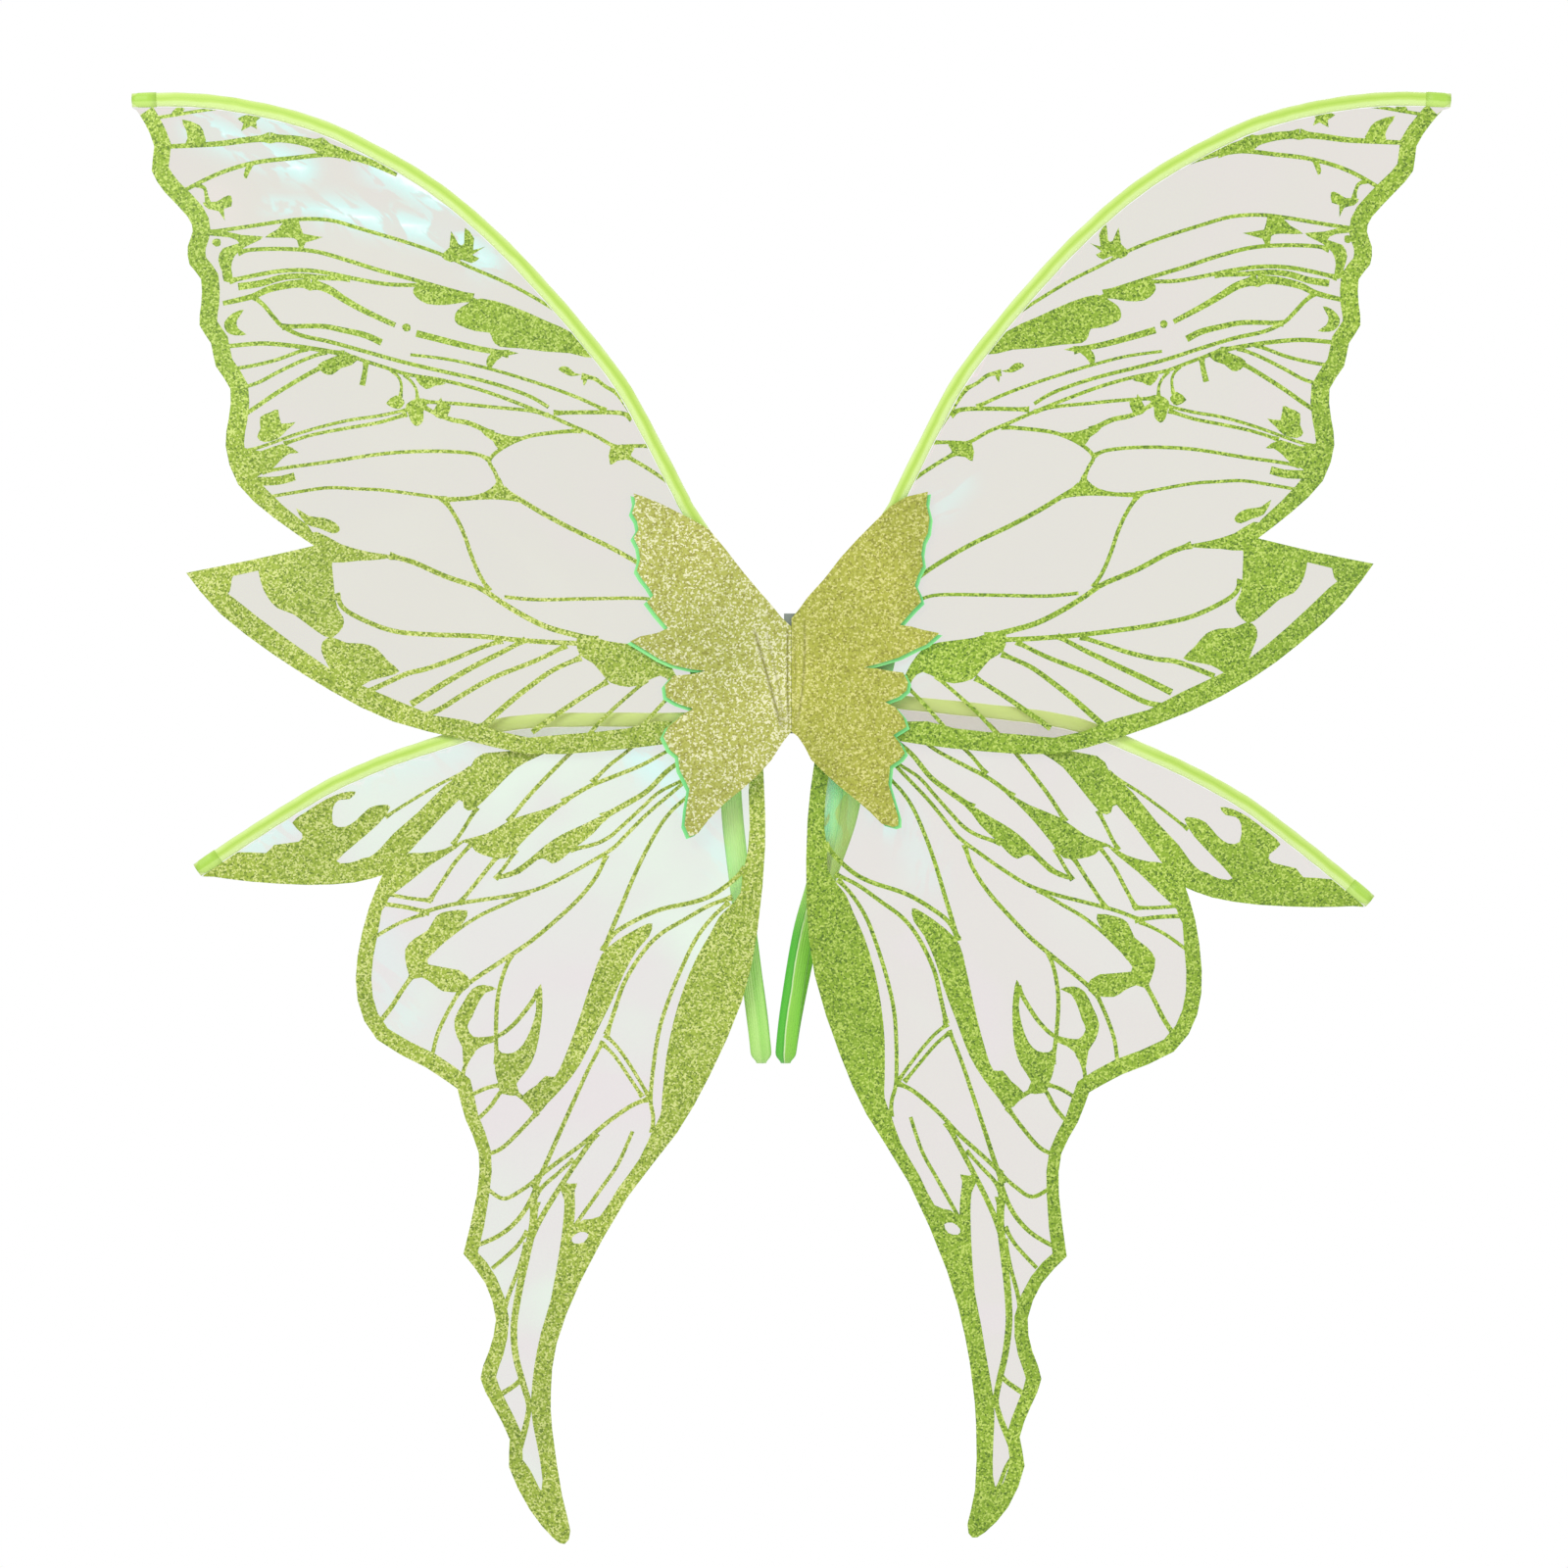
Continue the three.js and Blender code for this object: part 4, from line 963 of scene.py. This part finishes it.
def coverHalf(side, foam):
    node = f"{side}_front_cover"
    out = outward[side]
    # the halves meet at the seam
    outline = [(x - out * coverLook["seamReach"] * (1 if abs(x) < coverLook["seamNear"] else 0), z)
               for x, z in outlineOf(node)]
    low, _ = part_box(node)
    front = low.y / mm
    rimParts = [(a, b) for a, b in zip(outline, outline[1:] + outline[:1])
                if max(abs(a[0]), abs(b[0])) > coverLook["seamNear"]]
    folded = [z for x, z in outline if abs(x) < coverLook["middle"]]
    top, bottom = max(folded), min(folded)

    def depth(x, z):
        toRim = min(toSegment((x, z), a, b) for a, b in rimParts)
        puff = coverLook["puff"] * smoothstep(toRim, 0, 5)
        keep = smoothstep(toRim, 0.3, 3)
        return front + coverLook["puff"] - puff + coverLook["crease"] * creaseAt(side, x, z, bottom, top) * keep

    # extra points along each crease keep it crisp
    grid = innerPoints(outline, coverLook["grid"])
    for k in range(creaseGrid["steps"] + 1):
        t = k / creaseGrid["steps"]
        for crease in creases[side]:
            for away in creaseGrid["across"]:
                spot = (out * (creaseLine(crease, t) + away), bottom + (top - bottom) * t)
                if abs(spot[0]) > 1 and inside(spot, outline):
                    grid.append(spot)
    points, triangles, kinds = flatPieces(outline, grid, [], [])
    bm = meshFrom(points, triangles, [k[0] for k in kinds], depth)
    thickened(bm, coverLook["thick"])
    paintedSparkle = bm.verts.layers.float.new("paintedSparkle")
    paintedCreaseShade = bm.verts.layers.float.new("paintedCreaseShade")
    for v in bm.verts:
        # painted highlight: flakes beside a crease lie at new angles and catch the light, so they are painted paler
        # there, and over the left half near the seam
        x, z = v.co.x / mm, v.co.z / mm
        beside = creaseAt(side, x + 1.5, z, bottom, top) + creaseAt(side, x - 1.5, z, bottom, top)
        v[paintedSparkle] = min(1.3, 0.95 * beside + 0.25 * (1 - smoothstep(abs(x), 12, 50)) * (side == "left"))
        # painted shade in the crease valleys
        v[paintedCreaseShade] = min(0.9, 0.9 * creaseAt(side, x, z, bottom, top) ** 3)
    obj = finish(f"{side}_glitter_cover", bm, [foam])
    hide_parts(node)
    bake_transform(obj)


lining = {"thick": 0.9, "outward": 2.0, "down": 1.4, "fromSeam": 5.4, "grid": 6, "behind": 0.05}


def coverLining(side, foam):
    # the lining is cut to the same feathers and sits a little low and outward, so that a green edge shows
    node = f"{side}_cover_backing"
    out = outward[side]
    low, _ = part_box(node)
    shifted = [(x + out * lining["outward"], z - lining["down"]) for x, z in outlineOf(f"{side}_front_cover")]
    # what lies within this strip beside the seam is cut away
    near, far = lining["fromSeam"], -20
    clear = [(out * u, z) for u, z in ((near, 200), (near, -200), (far, -200), (far, 200))]
    points, triangles, kinds = flatPieces(shifted, innerPoints(shifted, lining["grid"]), [shifted], [clear])
    chosen = [ok and printed for ok, printed in kinds]
    bm = meshFrom(points, triangles, chosen, lambda x, z: low.y / mm + lining["behind"])
    obj = finish(f"{side}_cover_lining", thickened(bm, lining["thick"]), [foam])
    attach(obj, f"{side}_half")
    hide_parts(node)


strap = {"width": 13, "thick": 1.4, "steps": 8, "pinch": 0.5, "pinchOver": 3.2}
strapRoute = {
    "left": [
        (38, 1.4, -46), (37.5, 1.6, -62), (35.5, 2.6, -90), (31.5, 4, -125), (26.5, 5.5, -165), (21.5, 7, -205),
        (19, 9.5, -226), (18.5, 17, -236.5), (19, 25.5, -229), (21.5, 29, -205), (27, 27.5, -165), (32, 22, -125),
        (36, 13, -90), (37.5, 6.5, -62), (38, 4, -46)],
    "right": [
        (28, 1.4, -46), (26, 1.6, -62), (22.5, 2.6, -90), (16.5, 4, -122), (7.5, 5.5, -155), (0, 7, -200),
        (-3, 9.5, -226), (-3.5, 17, -236.5), (-3, 25.5, -229), (1, 29, -205), (9.5, 27.5, -165), (21, 22, -125),
        (33, 13, -90), (38, 6.5, -62), (36, 4, -46)],
}


def shoulderLoop(side, satin):
    out = outward[side]
    line = [Vector(p) for p in smoothLine([(out * u, y, z) for u, y, z in strapRoute[side]], strap["steps"])]
    lowest = min(p.z for p in line)
    rings = []
    for i, at in enumerate(line):
        along = (line[min(i + 1, len(line) - 1)] - line[max(i - 1, 0)]).normalized()
        face = Vector((0, -along.z, along.y)).normalized()
        # the band gathers a little where it turns at the bottom
        wide = strap["width"] * (1 - strap["pinch"] * math.exp(-((at.z - lowest) / strap["pinchOver"]) ** 2))
        rings.append((Matrix((
            (1, face.x, along.x, at.x * mm), (0, face.y, along.y, at.y * mm),
            (0, face.z, along.z, at.z * mm), (0, 0, 0, 1))), wide, strap["thick"]))
    bm = bmesh.new()
    sweep(bm, rings, 16, (0.8, 0.5))
    # 0 at the top, where the loop is painted paler as painted light, to 1 low down
    paintedLightFade = bm.verts.layers.float.new("low")
    for v in bm.verts:
        v[paintedLightFade] = smoothstep(-v.co.z / mm, 105, 165)
    obj = finish(f"{side}_elastic_loop", bm, [satin], smooth=True)
    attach(obj, f"{side}_loop")
    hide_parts(f"{side}_strap")


def patchStitches(side, thread):
    # a box of sewing round each patch's rear face
    low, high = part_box(f"{side}_strap_patch")
    bm = bmesh.new()
    inset, step = sewing["inset"] * mm, sewing["step"] * mm
    x0, x1, z0, z1 = low.x + inset, high.x - inset, low.z + inset, high.z - inset
    spots = []
    for k in range(int((x1 - x0) / step) + 1):
        spots += [(x0 + k * step, z0, True), (x0 + k * step, z1, True)]
    for k in range(1, int((z1 - z0) / step)):
        spots += [(x0, z0 + k * step, False), (x1, z0 + k * step, False)]
    for x, z, level in spots:
        made = bmesh.ops.create_cube(bm, size=1.0)["verts"]
        long, wide = (sewing["patchLong"], sewing["wide"]) if level else (sewing["wide"], sewing["patchLong"])
        bmesh.ops.scale(bm, vec=(long * mm, sewing["high"] * mm, wide * mm), verts=made)
        bmesh.ops.translate(bm, vec=(x, high.y + 0.1 * mm, z), verts=made)
    obj = finish(f"{side}_patch_stitches", bm, [thread])
    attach(obj, "spine")


placeCamera()
whiteRoom()
for lamp, (power, at, size) in lights.items():
    areaLight(lamp, power, at, size)
floor()
print("stage made")

inks = {side: glitterMaterial(f"{side}GlitterInk", glitter[f"print{side.title()}"]) for side in sides}
foams = {side: glitterMaterial(f"{side}GlitterFoam", glitter[f"cover{side.title()}"]) for side in sides}
satinRibbon = ribbonMaterial("satinRibbon", ribbon["edge"], ribbon["face"], ribbon["channel"], ribbon["hem"])
foldedRibbon = ribbonMaterial(
    "foldedSatinRibbon", ribbon["foldEdge"], ribbon["foldFace"], ribbon["foldFace"], ribbon["foldEdge"])
thread = ribbonMaterial("polyesterThread", "#E4F5B4", "#D3EC92", "#D3EC92", "#E4F5B4")
satinElastics = {side: elasticMaterial(f"{side}SatinElastic", elasticTones[side]) for side in sides}
mintFoam = foamMaterial("mintCraftFoam", "#98F095", "#74DC88")
board = foamMaterial("polypropyleneBoard", "#B4F0A0", "#98E48E")
webbing = foamMaterial("greyWovenTape", "#959E97", "#7C867E")
rolled = metalMaterial("rolledAluminium", "#B9BDBB", 0.3)
drawn = metalMaterial("drawnSteelWire", "#8C918F", 0.35)

for side in sides:
    for level in levels:
        wingCasing(side, level, satinRibbon, foldedRibbon, thread)
        tinted = filmMaterial(
            f"{side}{level.title()}IridescentFilm", filmTints[side, level], filmStreaks[side, level])
        wingFilm(side, level, tinted, inks[side])
    coverHalf(side, foams[side])
    coverLining(side, mintFoam)
    shoulderLoop(side, satinElastics[side])
    patchStitches(side, thread)
print("wings, covers and loops made")

kept = {"spine_tape": webbing, "spine_web": webbing, "back_panel": mintFoam}
for side in sides:
    kept.update({f"{side}_core_plate": board, f"{side}_strap_patch": satinElastics["left"]})
    for level in levels:
        kept.update({f"{side}_{level}_eyelet": rolled, f"{side}_{level}_wire": drawn})
for node, material in kept.items():
    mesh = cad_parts[node].data
    mesh.materials.clear()
    mesh.materials.append(material)
print("carried-over pieces finished")
